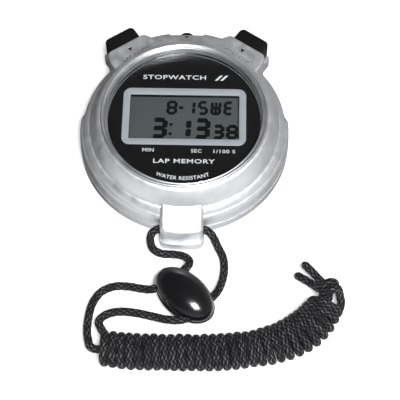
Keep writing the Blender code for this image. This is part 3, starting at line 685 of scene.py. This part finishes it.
def profile_at(angle):
    """Outer profile of the front case at an angle in degrees from +X."""
    plain, skirt, crown = plain_profile(), skirt_profile(), crown_profile()
    turn = angle % 360
    low_side = 1.0 - step_up(turn, 5, 11) if turn < 90 else step_up(turn, 169, 175)
    high_side = step_up(turn, 58, 61) * (1 - step_up(turn, 119, 122))
    return [tuple(p[k] + low_side * (s[k] - p[k]) + high_side * (c[k] - p[k]) for k in (0, 1))
            for p, s, c in zip(plain, skirt, crown)]


def lofted(name, profile_of):
    """Skin round the axis through the (radius, z) profiles that profile_of(degrees) gives."""
    loops = []
    for number in range(CASE_STEPS):
        angle = 360 / CASE_STEPS * number
        turn = math.radians(angle)
        loops.append([(r * math.cos(turn), r * math.sin(turn), z) for r, z in profile_of(angle)])
    return rings(name, list(zip(*loops)))


def add_shoulders(shell, heights, bevel, segments, tray_heights, tray_bevel):
    """Join a block behind each side button, and a ledge that runs out under its cap."""
    for side in SIDES:
        block = prism("shoulder", [
            (18.0, 8.0 * side), (SHOULDER_U - 2.6, 8.0 * side), (SHOULDER_U - 0.2, 6.4 * side),
            (SHOULDER_U, 5.6 * side), (SHOULDER_U, -6.3 * side),
            (SHOULDER_U - 0.8, -7.4 * side), (SHOULDER_U - 4.0, -8.2 * side),
            (18.0, -8.4 * side)], *heights, bevel, segments, 20.0)
        tray = box("tray", (26, -6.0, tray_heights[0]), (TRAY_U, 6.0, tray_heights[1]),
                   tray_bevel)
        join(shell, placed(block, shoulder_frame(side)), placed(tray, shoulder_frame(side)))


def pins(places, radius, bottom, top, segments=32):
    """Upright cylinders at the places."""
    return [cylinder("pin", radius, (at.x, at.y, bottom), (at.x, at.y, top), segments)
            for at in places]


def across_lug(name):
    return cylinder(name, BORE_R, (-12, BORE_Y, BORE_Z), (12, BORE_Y, BORE_Z))


def lug_outline(half_width, end_y, corner=2.1):
    outline = [(-half_width, LUG_BACK_Y)]
    outline += [(x, y + 0.35) for x, y in
                arc((-half_width + corner, end_y + corner), corner, 180, 255, 6)]
    outline += [(-2.2, end_y + 0.05), (0, end_y), (2.2, end_y + 0.05)]
    outline += [(-x, y) for x, y in reversed(outline[:-3])]
    return outline


def sloped(obj, above, slope, origin_y):
    """Tilt the faces above a height, so that the top falls away to the front."""
    for vertex in obj.data.vertices:
        if vertex.co.z > above * MM:
            vertex.co.z += slope * (vertex.co.y - origin_y * MM)
    return obj


def build_front_shell():
    low_z = PARTING_Z + SEAM
    shell = lofted("front_shell", lambda angle: profile_at(angle) + [
        (profile_at(angle)[-1][0], low_z - 1.5)])
    add_shoulders(shell, (low_z - 1.1, SHOULDER_Z), 0.55, 4, (low_z - 0.8, TRAY_Z), 0.5)
    lug = prism("lug", lug_outline(LUG_HALF_WIDTH, LUG_Y), low_z - 1.3, LUG_Z)
    sloped(lug, LUG_Z - 1, LUG_SLOPE, LUG_Y)
    add_bevel(lug, 1.1, 6, 40.0)
    join(shell, lug)
    cut(shell, turned("cavity", [
        (0.0, 20.0), (RING_R + 0.08, 20.0), (RING_R + 0.08, 14.1), (23.9, 14.1), (23.9, 12.7),
        (22.3, 12.7), (22.3, 11.9), (26.4, 11.9), (26.4, 10.0), (CAVITY_R, 7.5),
        (CAVITY_R, 0.0), (0.0, 0.0)]))
    for side in SIDES:
        for tool in (
                box("pocket", (POCKET_U, -5.6, 5.7), (45, 5.6, 12.35)),
                cylinder("seal_seat", 3.2, (30.2, 0, BUTTON_Z), (32, 0, BUTTON_Z)),
                cylinder("stem_bore", 1.55, (20, 0, BUTTON_Z), (32, 0, BUTTON_Z)),
                side_recess(side)):
            cut(shell, placed(tool, shoulder_frame(side)))
    cut(shell,
        notch("front_notch"),
        cylinder("mode_bore", 3.1, (0, 30.2, BUTTON_Z), (0, 40, BUTTON_Z)),
        cylinder("mode_stem_bore", 1.15, (0, 20, BUTTON_Z), (0, 32, BUTTON_Z)),
        across_lug("front_bore"))
    join(shell, *pins(CASE_SCREWS, 2.4, 2.2, 9.6), *pins(BOARD_SCREWS, 2.0, 8.3, 12.5))
    cut(shell, *pins(CASE_SCREWS, 1.0, 0, 8.6), *pins(BOARD_SCREWS, 0.7, 6, 11.4),
        box("front_parting", (-60, -60, -9), (60, 60, low_z)))
    finished(shell, SILVER, "case", ["front_case"], 35.0, True)


def side_recess(side):
    """Small oval hollow in the outer end of a button's ledge."""
    outline = [(36.9 + 0.75 * math.cos(a), 4.6 + 0.5 * math.sin(a))
               for a in np.linspace(0, 2 * math.pi, 24, endpoint=False)]
    tool = prism("recess", outline, 5.3, 9.0)
    swap = Matrix(((1, 0, 0, 0), (0, 0, -side, 0), (0, 1, 0, 0), (0, 0, 0, 1)))
    return placed(tool, swap)


def notch(name):
    return box(name, (-NOTCH_HALF_WIDTH, NOTCH_Y, -4), (NOTCH_HALF_WIDTH, 40, 20), 0.0)


def build_back_shell():
    high_z = PARTING_Z - SEAM
    edge = 0.35

    def profile(angle):
        radius = profile_at(angle)[-1][0]
        radius += 0.2 * (radius - BODY_R) / (SKIRT_R - BODY_R) if radius < CROWN_R else 0.0
        return [(radius, high_z + 1.4), (radius, edge)] + [
            (radius - edge + edge * math.cos(a), edge - edge * math.sin(a))
            for a in (0.4, 0.8, 1.2)] + [(radius - edge, 0.0), (radius - edge - 0.6, 0.0)]

    shell = lofted("back_shell", profile)
    add_shoulders(shell, (0.0, high_z + 1.1), 0.3, 3, (0.01, high_z + 1.7), 0.45)
    join(shell, prism("back_lug", lug_outline(LUG_HALF_WIDTH + 0.3, LUG_LIP_Y), 0.02,
                      high_z + 0.9, 0.3, 3, 50.0))
    cut(shell, turned("back_cavity", [(0.0, 9.0), (CAVITY_R, 9.0), (CAVITY_R, FLOOR_Z),
                                      (0.0, FLOOR_Z)]))
    centre = (0.0, BATTERY_Y)
    join(shell, turned("battery_well", [(14.0, 5.0), (14.0, 1.0), (13.4, 1.0), (13.4, 5.0)],
                       96, centre))
    join(shell, *pins(CASE_SCREWS, 3.0, 1.0, high_z + 1.0))
    cut(shell, *pins(CASE_SCREWS, 2.2, -3, 2.0, 48), *pins(CASE_SCREWS, 1.2, 0, 8))
    entry = placed(box("cover_entry", (-13.25, -2.4, -3), (13.25, 2.4, 3)),
                   moved(0, BATTERY_Y, 0, -45))
    parting = box("back_parting", (-60, -60, high_z), (60, 60, 12))
    clearance = cylinder("well_clearance", 14.2, (0, BATTERY_Y, 0), (0, BATTERY_Y, 20), 96)
    boolean(parting, clearance, "DIFFERENCE")
    cut(shell, turned("gasket_groove", [(30.0, 9.0), (30.0, 2.55), (28.85, 2.55), (28.85, 9.0)]),
        cylinder("battery_door", COVER_R + 0.2, (0, BATTERY_Y, -3), (0, BATTERY_Y, 3), 96),
        entry, notch("back_notch"), across_lug("back_bore"), parting)
    finished(shell, SILVER, "case", ["back_case"], 35.0, True)


def build_ring_and_lens():
    crest = arc((RING_R - 0.30, RING_TOP - 0.34), 0.29, 10, 160, 7)
    channel = [(24.86, 16.52), (24.68, 16.42), (24.50, 16.44)]
    bead = arc((24.26, RING_TOP - 0.72), 0.20, 60, 190, 6)
    inner = [(24.03, 16.05), (23.98, 15.5), (23.95, 15.2), (23.95, 14.4)]
    outer = [(RING_R, 14.4), (RING_R, 15.8), (RING_R, RING_TOP - 0.45)]
    ring = turned("bezel_bright_ring", outer + crest + channel + bead + inner, 240)
    finished(ring, CHROME, "case", ["bezel_ring"], 45.0)
    bottom, top = LENS_Z
    lens = turned("clear_lens", [(0.0, top), (LENS_R - 0.45, top), (LENS_R - 0.22, top - 0.08),
                                 (LENS_R - 0.05, top - 0.25), (LENS_R, top - 0.45),
                                 (LENS_R, bottom), (0.0, bottom)], 192)
    finished(lens, LENS, "case", ["lens"], 50.0)


# ---- dial, display and print ----
def framed(name, layers):
    """A closed ring through rounded rectangles given as (width, height, radius, z)."""
    return rings(name, [[(x, y, z) for x, y in rounded_rectangle(w, h, r, middle_y=FRAME_Y)]
                        for w, h, r, z in layers], closed=True)


def build_dial():
    width, height = FRAME_SIZE.x, FRAME_SIZE.y
    bottom, top = DIAL_Z
    plate = turned("dial_face", [(0.0, top), (DIAL_R - 0.1, top), (DIAL_R, top - 0.1),
                                 (DIAL_R, bottom), (0.0, bottom)], 192)
    cut(plate, prism("dial_window",
                     rounded_rectangle(width + 0.16, height + 0.16, 2.58, middle_y=FRAME_Y),
                     bottom - 1, top + 1))
    finished(plate, DIAL_BLACK, "case", ["dial_plate"])
    inner_w, inner_h = WINDOW_SIZE
    surround = framed("display_surround", [
        (width, height, 2.5, FRAME_LOW_Z), (width, height, 2.5, top - 0.06),
        (width - 0.06, height - 0.06, 2.47, top - 0.02), (width - 0.16, height - 0.16, 2.42, top),
        (inner_w + 0.5, inner_h + 0.5, 0.55, top),
        (inner_w + 0.2, inner_h + 0.2, 0.4, top - 0.1), (inner_w, inner_h, 0.3, top - 0.35),
        (inner_w, inner_h, 0.3, FRAME_LOW_Z)])
    finished(surround, FRAME_GREY, "case", ["window_frame"], 50.0)
    # Painted shade: a black sleeve inside the window, from the display up towards the frame's top,
    # darkens the recess's inner wall where shade falls.
    painted_shade_sleeve_top, painted_shade_sleeve_w, painted_shade_sleeve_h = top - 0.4, inner_w - 0.14, inner_h - 0.14
    painted_shade_sleeve = framed("display_painted_shade_sleeve", [
        (inner_w - 0.02, inner_h - 0.02, 0.3, LCD_HIGH.z + 0.02),
        (inner_w - 0.02, inner_h - 0.02, 0.3, painted_shade_sleeve_top), (painted_shade_sleeve_w, painted_shade_sleeve_h, 0.2, painted_shade_sleeve_top),
        (painted_shade_sleeve_w, painted_shade_sleeve_h, 0.2, LCD_HIGH.z + 0.02)])
    finished(painted_shade_sleeve, SEGMENT, "case")
    panel = box("display_panel", LCD_LOW, LCD_HIGH, 0.12)
    finished(panel, DISPLAY, "case", ["lcd_panel"])


SEGMENTS = {"1": "bc", "3": "abgcd", "5": "afgcd", "8": "abcdefg", "-": "g", "E": "afged"}
LEAN = 0.045


def bar(start, end, thick, square=False):
    """Outline of one display segment from start to end, pointed unless square."""
    start, end = Vector(start), Vector(end)
    along = (end - start).normalized()
    across = Vector((-along.y, along.x)) * thick / 2
    point = 0.0 if square else thick / 4
    return [start, start + along * point + across, end - along * point + across, end,
            end - along * point - across, start + along * point - across]


def digit_bars(char, x, y, width, height, thick):
    """Outlines of a seven-segment character whose lower left corner is (x, y)."""
    inset, gap = thick / 2, thick * 0.05
    left, right = x + inset, x + width - inset
    bottom, centre, top = y + inset, y + height / 2, y + height - inset
    lines = {
        "a": ((left, top), (right, top)), "g": ((left, centre), (right, centre)),
        "d": ((left, bottom), (right, bottom)),
        "b": ((right, centre), (right, top)), "c": ((right, bottom), (right, centre)),
        "f": ((left, centre), (left, top)), "e": ((left, bottom), (left, centre)),
    }
    if char == "W":
        middle_x = (left + right) / 2
        bars = [bar(*lines[k], thick) for k in "bcfed"]
        bars.append(bar((middle_x, centre + thick * 0.3), (middle_x, top), thick * 0.8, True))
        bars.append(bar((middle_x, bottom), (middle_x, centre - thick * 0.3), thick * 0.8, True))
        bars.append(bar(*lines["g"], thick * 0.9))
        return bars
    made = []
    for key in SEGMENTS[char]:
        start, end = Vector(lines[key][0]), Vector(lines[key][1])
        step = (end - start).normalized() * gap
        made.append(bar(start + step, end - step, thick))
    return made


def flat_shapes(name, outlines, z, thickness):
    bm = bmesh.new()
    for outline in outlines:
        bottom = [bm.verts.new(Vector((p[0], p[1], z)) * MM) for p in outline]
        top = [bm.verts.new(Vector((p[0], p[1], z + thickness)) * MM) for p in outline]
        bm.faces.new(top)
        bm.faces.new(bottom[::-1])
        for index in range(len(outline)):
            after = (index + 1) % len(outline)
            bm.faces.new((bottom[index], bottom[after], top[after], top[index]))
    return mesh_object(name, bm)


def build_display_digits():
    """Upper line 8-15 WE and lower line 3:13 38, dark segments on the display."""
    bars = []
    lower_y = -6.3
    for y, height, thick, digits in (
            (2.45, 5.1, 0.98, (("8", -6.1, 3.35), ("-", -2.9, 2.6), ("1", -0.45, 3.3),
                               ("5", 3.6, 3.2), ("W", 7.5, 3.4), ("E", 11.55, 3.1))),
            (lower_y, 7.6, 1.62, (("3", -10.5, 5.2), ("1", -3.2, 5.2), ("3", 2.7, 5.2))),
            (lower_y, 5.4, 1.25, (("3", 8.5, 3.85), ("8", 12.75, 3.95)))):
        for char, x, width in digits:
            bars += digit_bars(char, x, y, width, height, thick)
    for y in (-4.45, -1.1):
        bars.append(arc((-4.3, y), 0.55, 0, 330, 11))
    leaned = [[(p[0] + LEAN * (p[1] - lower_y), p[1]) for p in outline] for outline in bars]
    digits = flat_shapes("display_digits", leaned, LCD_HIGH.z + 0.01, 0.04)
    finished(digits, SEGMENT, "case")


def lettering(name, text, size, width=None, spacing=1.0):
    """Text as a thin mesh, centred on the origin, width millimetres wide if given."""
    data = bpy.data.curves.new(name, "FONT")
    data.body, data.size = text, size * MM
    data.align_x, data.align_y = "CENTER", "CENTER"
    data.space_character = spacing
    data.extrude = 0.015 * MM
    data.resolution_u = 3
    data.offset = 0.012 * size * MM
    curve = link(bpy.data.objects.new(name, data))
    bpy.context.view_layer.update()
    graph = bpy.context.evaluated_depsgraph_get()
    mesh = bpy.data.meshes.new_from_object(curve.evaluated_get(graph))
    bpy.data.objects.remove(curve)
    obj = link(bpy.data.objects.new(name, mesh))
    if width:
        wide = max(v.co.x for v in mesh.vertices) - min(v.co.x for v in mesh.vertices)
        mesh.transform(Matrix.Diagonal((width * MM / wide, 1, 1, 1)))
    return obj


def bent(obj, radius, angle, outward=True):
    """Bend flat lettering round the dial's axis at a radius, centred on an angle (degrees)."""
    for vertex in obj.data.vertices:
        turn = math.radians(angle) - (vertex.co.x if outward else -vertex.co.x) / (radius * MM)
        reach = radius * MM + (vertex.co.y if outward else -vertex.co.y)
        vertex.co = Vector((reach * math.cos(turn), reach * math.sin(turn), vertex.co.z))
    return obj


def merged(name, objects):
    """One object from several, with their transforms applied."""
    bm = bmesh.new()
    for obj in objects:
        bpy.context.view_layer.update()
        obj.data.transform(obj.matrix_world)
        bm.from_mesh(obj.data)
        bpy.data.objects.remove(obj)
    mesh = bpy.data.meshes.new(name)
    bm.to_mesh(mesh)
    bm.free()
    return link(bpy.data.objects.new(name, mesh))


def build_dial_print():
    """White generic words on the dial, and a small clock-like emblem beside the title."""
    z = DIAL_Z[1] + 0.025
    words = []
    for text, size, width, x, y in (
            ("STOPWATCH", 2.15, 19.6, -3.3, 15.15), ("MIN", 1.75, 3.5, -10.7, -11.2),
            ("SEC", 1.65, 3.2, 3.95, -11.35), ("1/100 S", 1.65, 6.6, 12.3, -11.4),
            ("LAP MEMORY", 2.05, 18.6, 0.2, -15.0)):
        word = lettering("word", text, size, width, 1.1)
        word.location = Vector((x, y, z)) * MM
        words.append(word)
    curved = bent(lettering("curved", "WATER RESISTANT", 1.75, 16.4, 1.05), 20.9, 270, False)
    curved.location = Vector((0, 0, z)) * MM
    words.append(curved)
    emblem = flat_shapes("emblem", [
        [(9.2, 14.2), (10.0, 14.2), (11.7, 16.1), (10.9, 16.1)],
        [(10.9, 14.2), (11.7, 14.2), (13.4, 16.1), (12.6, 16.1)]], z - 0.015, 0.03)
    words.append(emblem)
    finished(merged("dial_lettering", words), PRINT_WHITE, "case")


def build_case_print():
    """Black markers beside the three buttons, and their small labels round the bezel."""
    z = SHOULDER_Z + 0.01
    marks = []
    for side in SIDES:
        tip = Vector((18.65 * side, 26.0))
        outline = [tip, tip + Vector((-1.3 * side, 0.78)), tip + Vector((-1.3 * side, -0.78))]
        marks.append(flat_shapes("marker", [outline], z, 0.03))
    marks.append(flat_shapes("marker", [[(-0.65, 31.15), (0.0, 30.35), (0.65, 31.15)]],
                             13.1, 0.03))
    finished(merged("button_markers", marks), PRINT_BLACK, "case")
    labels = []
    for text, angle, width in (("LAP RESET", 123.5, 9.5), ("START STOP", 56.5, 9.5)):
        label = bent(lettering("label", text, 1.25, width), 29.0, angle)
        for vertex in label.data.vertices:
            over_crown = 60.5 < math.degrees(math.atan2(vertex.co.y, vertex.co.x)) < 119.5
            vertex.co.z += (13.33 if over_crown else z + 0.015) * MM
        labels.append(label)
    label = lettering("label", "MODE", 1.0, 3.6)
    label.location = Vector((0, 29.35, 13.29)) * MM
    labels.append(label)
    finished(merged("button_labels", labels), PRINT_DIM, "case")


# ---- buttons ----
def build_side_button(side, label):
    corner = 1.5
    outline = [(POCKET_U + 1.6, -CAP_HALF_WIDTH)]
    outline += arc((CAP_U - corner, -CAP_HALF_WIDTH + corner), corner, -90, 0, 6)
    outline += arc((CAP_U - corner, CAP_HALF_WIDTH - corner), corner, 0, 90, 6)
    outline += [(POCKET_U + 1.6, CAP_HALF_WIDTH)]
    cap = prism(label + "_button_cap", outline, BUTTON_Z - CAP_HALF_HEIGHT,
                BUTTON_Z + CAP_HALF_HEIGHT, 0.6, 5, 40.0)
    cut(cap, cylinder(label + "_spring_seat", 2.3, (30, 0, BUTTON_Z), (37.2, 0, BUTTON_Z)))
    join(cap, cylinder(label + "_stem", 1.2, (STEM_END_U, 0, BUTTON_Z), (38, 0, BUTTON_Z)))
    for piece in [cap] + TOOLS:
        placed(piece, shoulder_frame(side))
    finished(cap, BUTTON_BLACK, label + "_button", [label + "_button"], 40.0)


def build_mode_button():
    face = [(0.0, MODE_Y), (0.7, MODE_Y - 0.04), (1.3, MODE_Y - 0.2), (1.8, MODE_Y - 0.5),
            (2.25, MODE_Y - 0.95), (2.55, MODE_Y - 1.5), (2.75, MODE_Y - 2.1),
            (2.8, MODE_Y - 2.6)]
    cap = turned("mode_button_cap", face + [
        (2.8, 31.0), (1.85, 31.0), (1.85, 33.1), (0.8, 33.1), (0.8, 24.0), (0.0, 24.0)], 64)
    placed(cap, moved(0, 0, BUTTON_Z, -90, "X"))
    finished(cap, BUTTON_BLACK, "mode_button", ["mode_button"], 40.0)


# ---- back ----
def build_battery_cover():
    bottom, top = COVER_Z
    cover = turned("coin_cover", [
        (0.0, top), (11.7, top), (11.7, 1.75), (11.3, 1.75), (11.3, 0.75), (COVER_R, 0.75),
        (COVER_R, bottom + 0.2), (COVER_R - 0.06, bottom + 0.06), (COVER_R - 0.2, bottom),
        (10.3, bottom), (10.15, bottom + 0.15), (9.95, bottom + 0.15), (9.8, bottom),
        (0.0, bottom)], 144)
    join(cover, box("bayonet_tabs", (-13.0, -2.0, 1.95), (13.0, 2.0, 2.35)))
    cut(cover, prism("coin_slot", rounded_rectangle(15.0, 1.8, 0.88, 6), -1.0, 1.3))
    for piece in [cover] + TOOLS:
        placed(piece, moved(0, BATTERY_Y, 0))
    finished(cover, SILVER, "battery_cover", ["battery_cover"], 35.0, True)


def build_case_screws():
    for number, (x, y, _) in enumerate(CASE_SCREWS, 1):
        screw = turned("housing_screw_%d" % number, [
            (0.0, 8.2), (0.6, 8.2), (0.9, 7.4), (0.9, 1.7), (1.86, 1.7), (1.9, 1.6), (1.9, 1.0),
            (1.84, 0.8), (1.7, 0.62), (1.5, 0.52), (0.0, 0.45)], 48, (x, y))
        cut(screw, box("driver_bar", (x - 1.1, y - 0.25, -1), (x + 1.1, y + 0.25, 0.95)),
            box("driver_bar", (x - 0.25, y - 1.1, -1), (x + 0.25, y + 1.1, 0.95)))
        finished(screw, STEEL, "case", ["case_screw_%d" % number], 35.0)


# ---- toggle ----
def toggle_loops(scale, heights):
    """Ellipse loops of the bead at heights over its centre, as (height, shrink) pairs."""
    loops = []
    for height, shrink in heights:
        share = math.sqrt(max(0.0, 1 - (height / TOGGLE_HALF[2]) ** 2))
        loops.append([((TOGGLE_HALF[0] * scale * share - shrink) * math.cos(a),
                       (TOGGLE_HALF[1] * scale * share - shrink) * math.sin(a), height)
                      for a in np.linspace(0, 2 * math.pi, 96, endpoint=False)])
    return loops


def build_toggle():
    seam = 0.05
    pole = 0.9995 * TOGGLE_HALF[2]
    split = TOGGLE_PARTING_Z - TOGGLE_CENTRE.z
    crown = [TOGGLE_HALF[2] * math.sin(math.radians(a)) for a in range(4, 90, 4)] + [pole]
    upper = [(split + seam, 0.22), (split + seam + 0.1, 0.08), (split + seam + 0.28, 0.0)]
    top = rings("toggle_upper", toggle_loops(1.0, upper + [(h, 0.0) for h in crown]))
    lower = [(split - seam, 0.12), (split - seam - 0.1, 0.0), (split - seam - 0.3, -0.04)]
    floor = [(-TOGGLE_HALF[2] * math.sin(math.radians(a)), 0.0) for a in range(10, 90, 5)]
    base = rings("toggle_lower", toggle_loops(1.03, lower + floor + [(-pole, 0.0)]))
    # The lower half takes the lighter tone that paints the floor's reflection along its rim.
    for half, material, node in ((top, TOGGLE_BLACK, "toggle_top"),
                                 (base, TOGGLE_BASE_WITH_PAINTED_REFLECTION, "toggle_base")):
        placed(half, moved(*TOGGLE_CENTRE, TOGGLE_TURN))
        hole = CORD_R + 0.25
        cut(half, cylinder("left_hole", hole, (6.9, -42.5, 5.0), (-13.1, -58.1, 5.0)),
            cylinder("right_hole", hole, (12.9, -52.3, 5.0), (-1.1, -67.1, 5.0)))
        cut(half, placed(box("side_slot", (-7.2, -9.0, -1.6), (7.2, -3.6, 1.6), 0.3),
                         moved(*TOGGLE_CENTRE[:2], TOGGLE_PARTING_Z, TOGGLE_TURN)))
        finished(half, material, "case", [node], 40.0)
    return [top, base]


# ---- CAD nodes that stay, with better materials ----
KEPT = (
    (RUBBER, "case_gasket battery_cover_seal left_button_seal right_button_seal "
             "lcd_connector_upper lcd_connector_lower"),
    (HOLDER, "lcd_holder"),
    (BOARD, "circuit_board"),
    (RESIN, "timer_chip left_switch right_switch mode_switch"),
    (CERAMIC, "capacitor_1 capacitor_2"),
    (STEEL, "quartz_crystal battery battery_contact_negative battery_contact_positive "
            "left_button_spring right_button_spring mode_button_spring board_screw_1 "
            "board_screw_2 board_screw_3 board_screw_4"),
    (BRASS, "buzzer_disc buzzer_spring"),
)


def paint_kept_nodes():
    for material, names in KEPT:
        for name in names.split():
            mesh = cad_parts[name].data
            mesh.materials.clear()
            mesh.materials.append(material)


# ---- studio ----
def key_light():
    """Soft square light in front and to the right, in metres."""
    data = bpy.data.lights.new("key", "AREA")
    data.size, data.energy = 0.26, 9.5
    light = link(bpy.data.objects.new("key", data))
    toward = direction(63, 24)
    light.matrix_world = (Matrix.Translation(Vector((0.005, -0.03, 0.0)) + 0.75 * toward)
                          @ (-toward).to_track_quat("-Z", "Y").to_matrix().to_4x4())


def paper_material():
    """White paper; what the object mirrors of it is bright in front and dim at the sides."""
    made, nodes, links = nodes_of("paper")
    shader = nodes["Principled BSDF"]
    paper = noise_of(nodes, links, 300.0, 4.0)
    links.new(mixed(nodes, links, ranged(nodes, links, paper, 0, 1), (0.80, 0.80, 0.80),
                    (0.83, 0.83, 0.83)), shader.inputs["Base Color"])
    shader.inputs["Roughness"].default_value = 0.9
    shader.inputs["Specular IOR Level"].default_value = 0.1
    axes = separated(nodes, links, "Object")
    glow = nodes.new("ShaderNodeEmission")
    links.new(added(nodes, links, ranged(nodes, links, axes["Y"], 1.5, 0.0, -0.048, -0.020),
                    ranged(nodes, links, axes["X"], 0.06, 0.34, -0.03, 0.03)),
              glow.inputs["Strength"])
    lit = nodes.new("ShaderNodeEmission")
    lit.inputs["Strength"].default_value = 0.30
    seen = nodes.new("ShaderNodeAddShader")
    links.new(shader.outputs["BSDF"], seen.inputs[0])
    links.new(lit.outputs["Emission"], seen.inputs[1])
    path = nodes.new("ShaderNodeLightPath")
    either = nodes.new("ShaderNodeMixShader")
    links.new(path.outputs["Is Camera Ray"], either.inputs["Fac"])
    links.new(glow.outputs["Emission"], either.inputs[1])
    links.new(seen.outputs["Shader"], either.inputs[2])
    links.new(either.outputs["Shader"], nodes["Material Output"].inputs["Surface"])
    return made


def build_studio():
    floor = box("floor", (-900, -900, -0.6), (900, 900, 0))
    floor.data.materials.append(paper_material())
    build_world()
    bpy.context.scene.view_settings.view_transform = "Standard"
    key_light()


def build_world():
    """A dim room, brighter in front, to the right and near the horizon."""
    world = bpy.data.worlds.new("studio")
    bpy.context.scene.world = world
    world.use_nodes = True
    nodes, links = world.node_tree.nodes, world.node_tree.links
    axes = separated(nodes, links, "Generated")
    total = added(nodes, links, ranged(nodes, links, axes["X"], 0.05, 0.22, -0.2, 0.9),
                  ranged(nodes, links, axes["Z"], 0.40, 0.05, 0.05, 0.45))
    links.new(added(nodes, links, total, ranged(nodes, links, axes["Y"], 0.7, 0.0, -0.95, -0.6)),
              nodes["Background"].inputs["Strength"])
    nodes["Background"].inputs["Color"].default_value = (0.98, 0.99, 1.0, 1)


make_camera()
(left_cord, right_cord), (left_line, right_line) = build_cords()
build_front_shell()
build_back_shell()
build_ring_and_lens()
build_dial()
build_display_digits()
build_dial_print()
build_case_print()
for side, label in zip(SIDES, ("left", "right")):
    build_side_button(side, label)
build_mode_button()
build_battery_cover()
build_case_screws()
toggle_halves = build_toggle()
paint_kept_nodes()
build_studio()
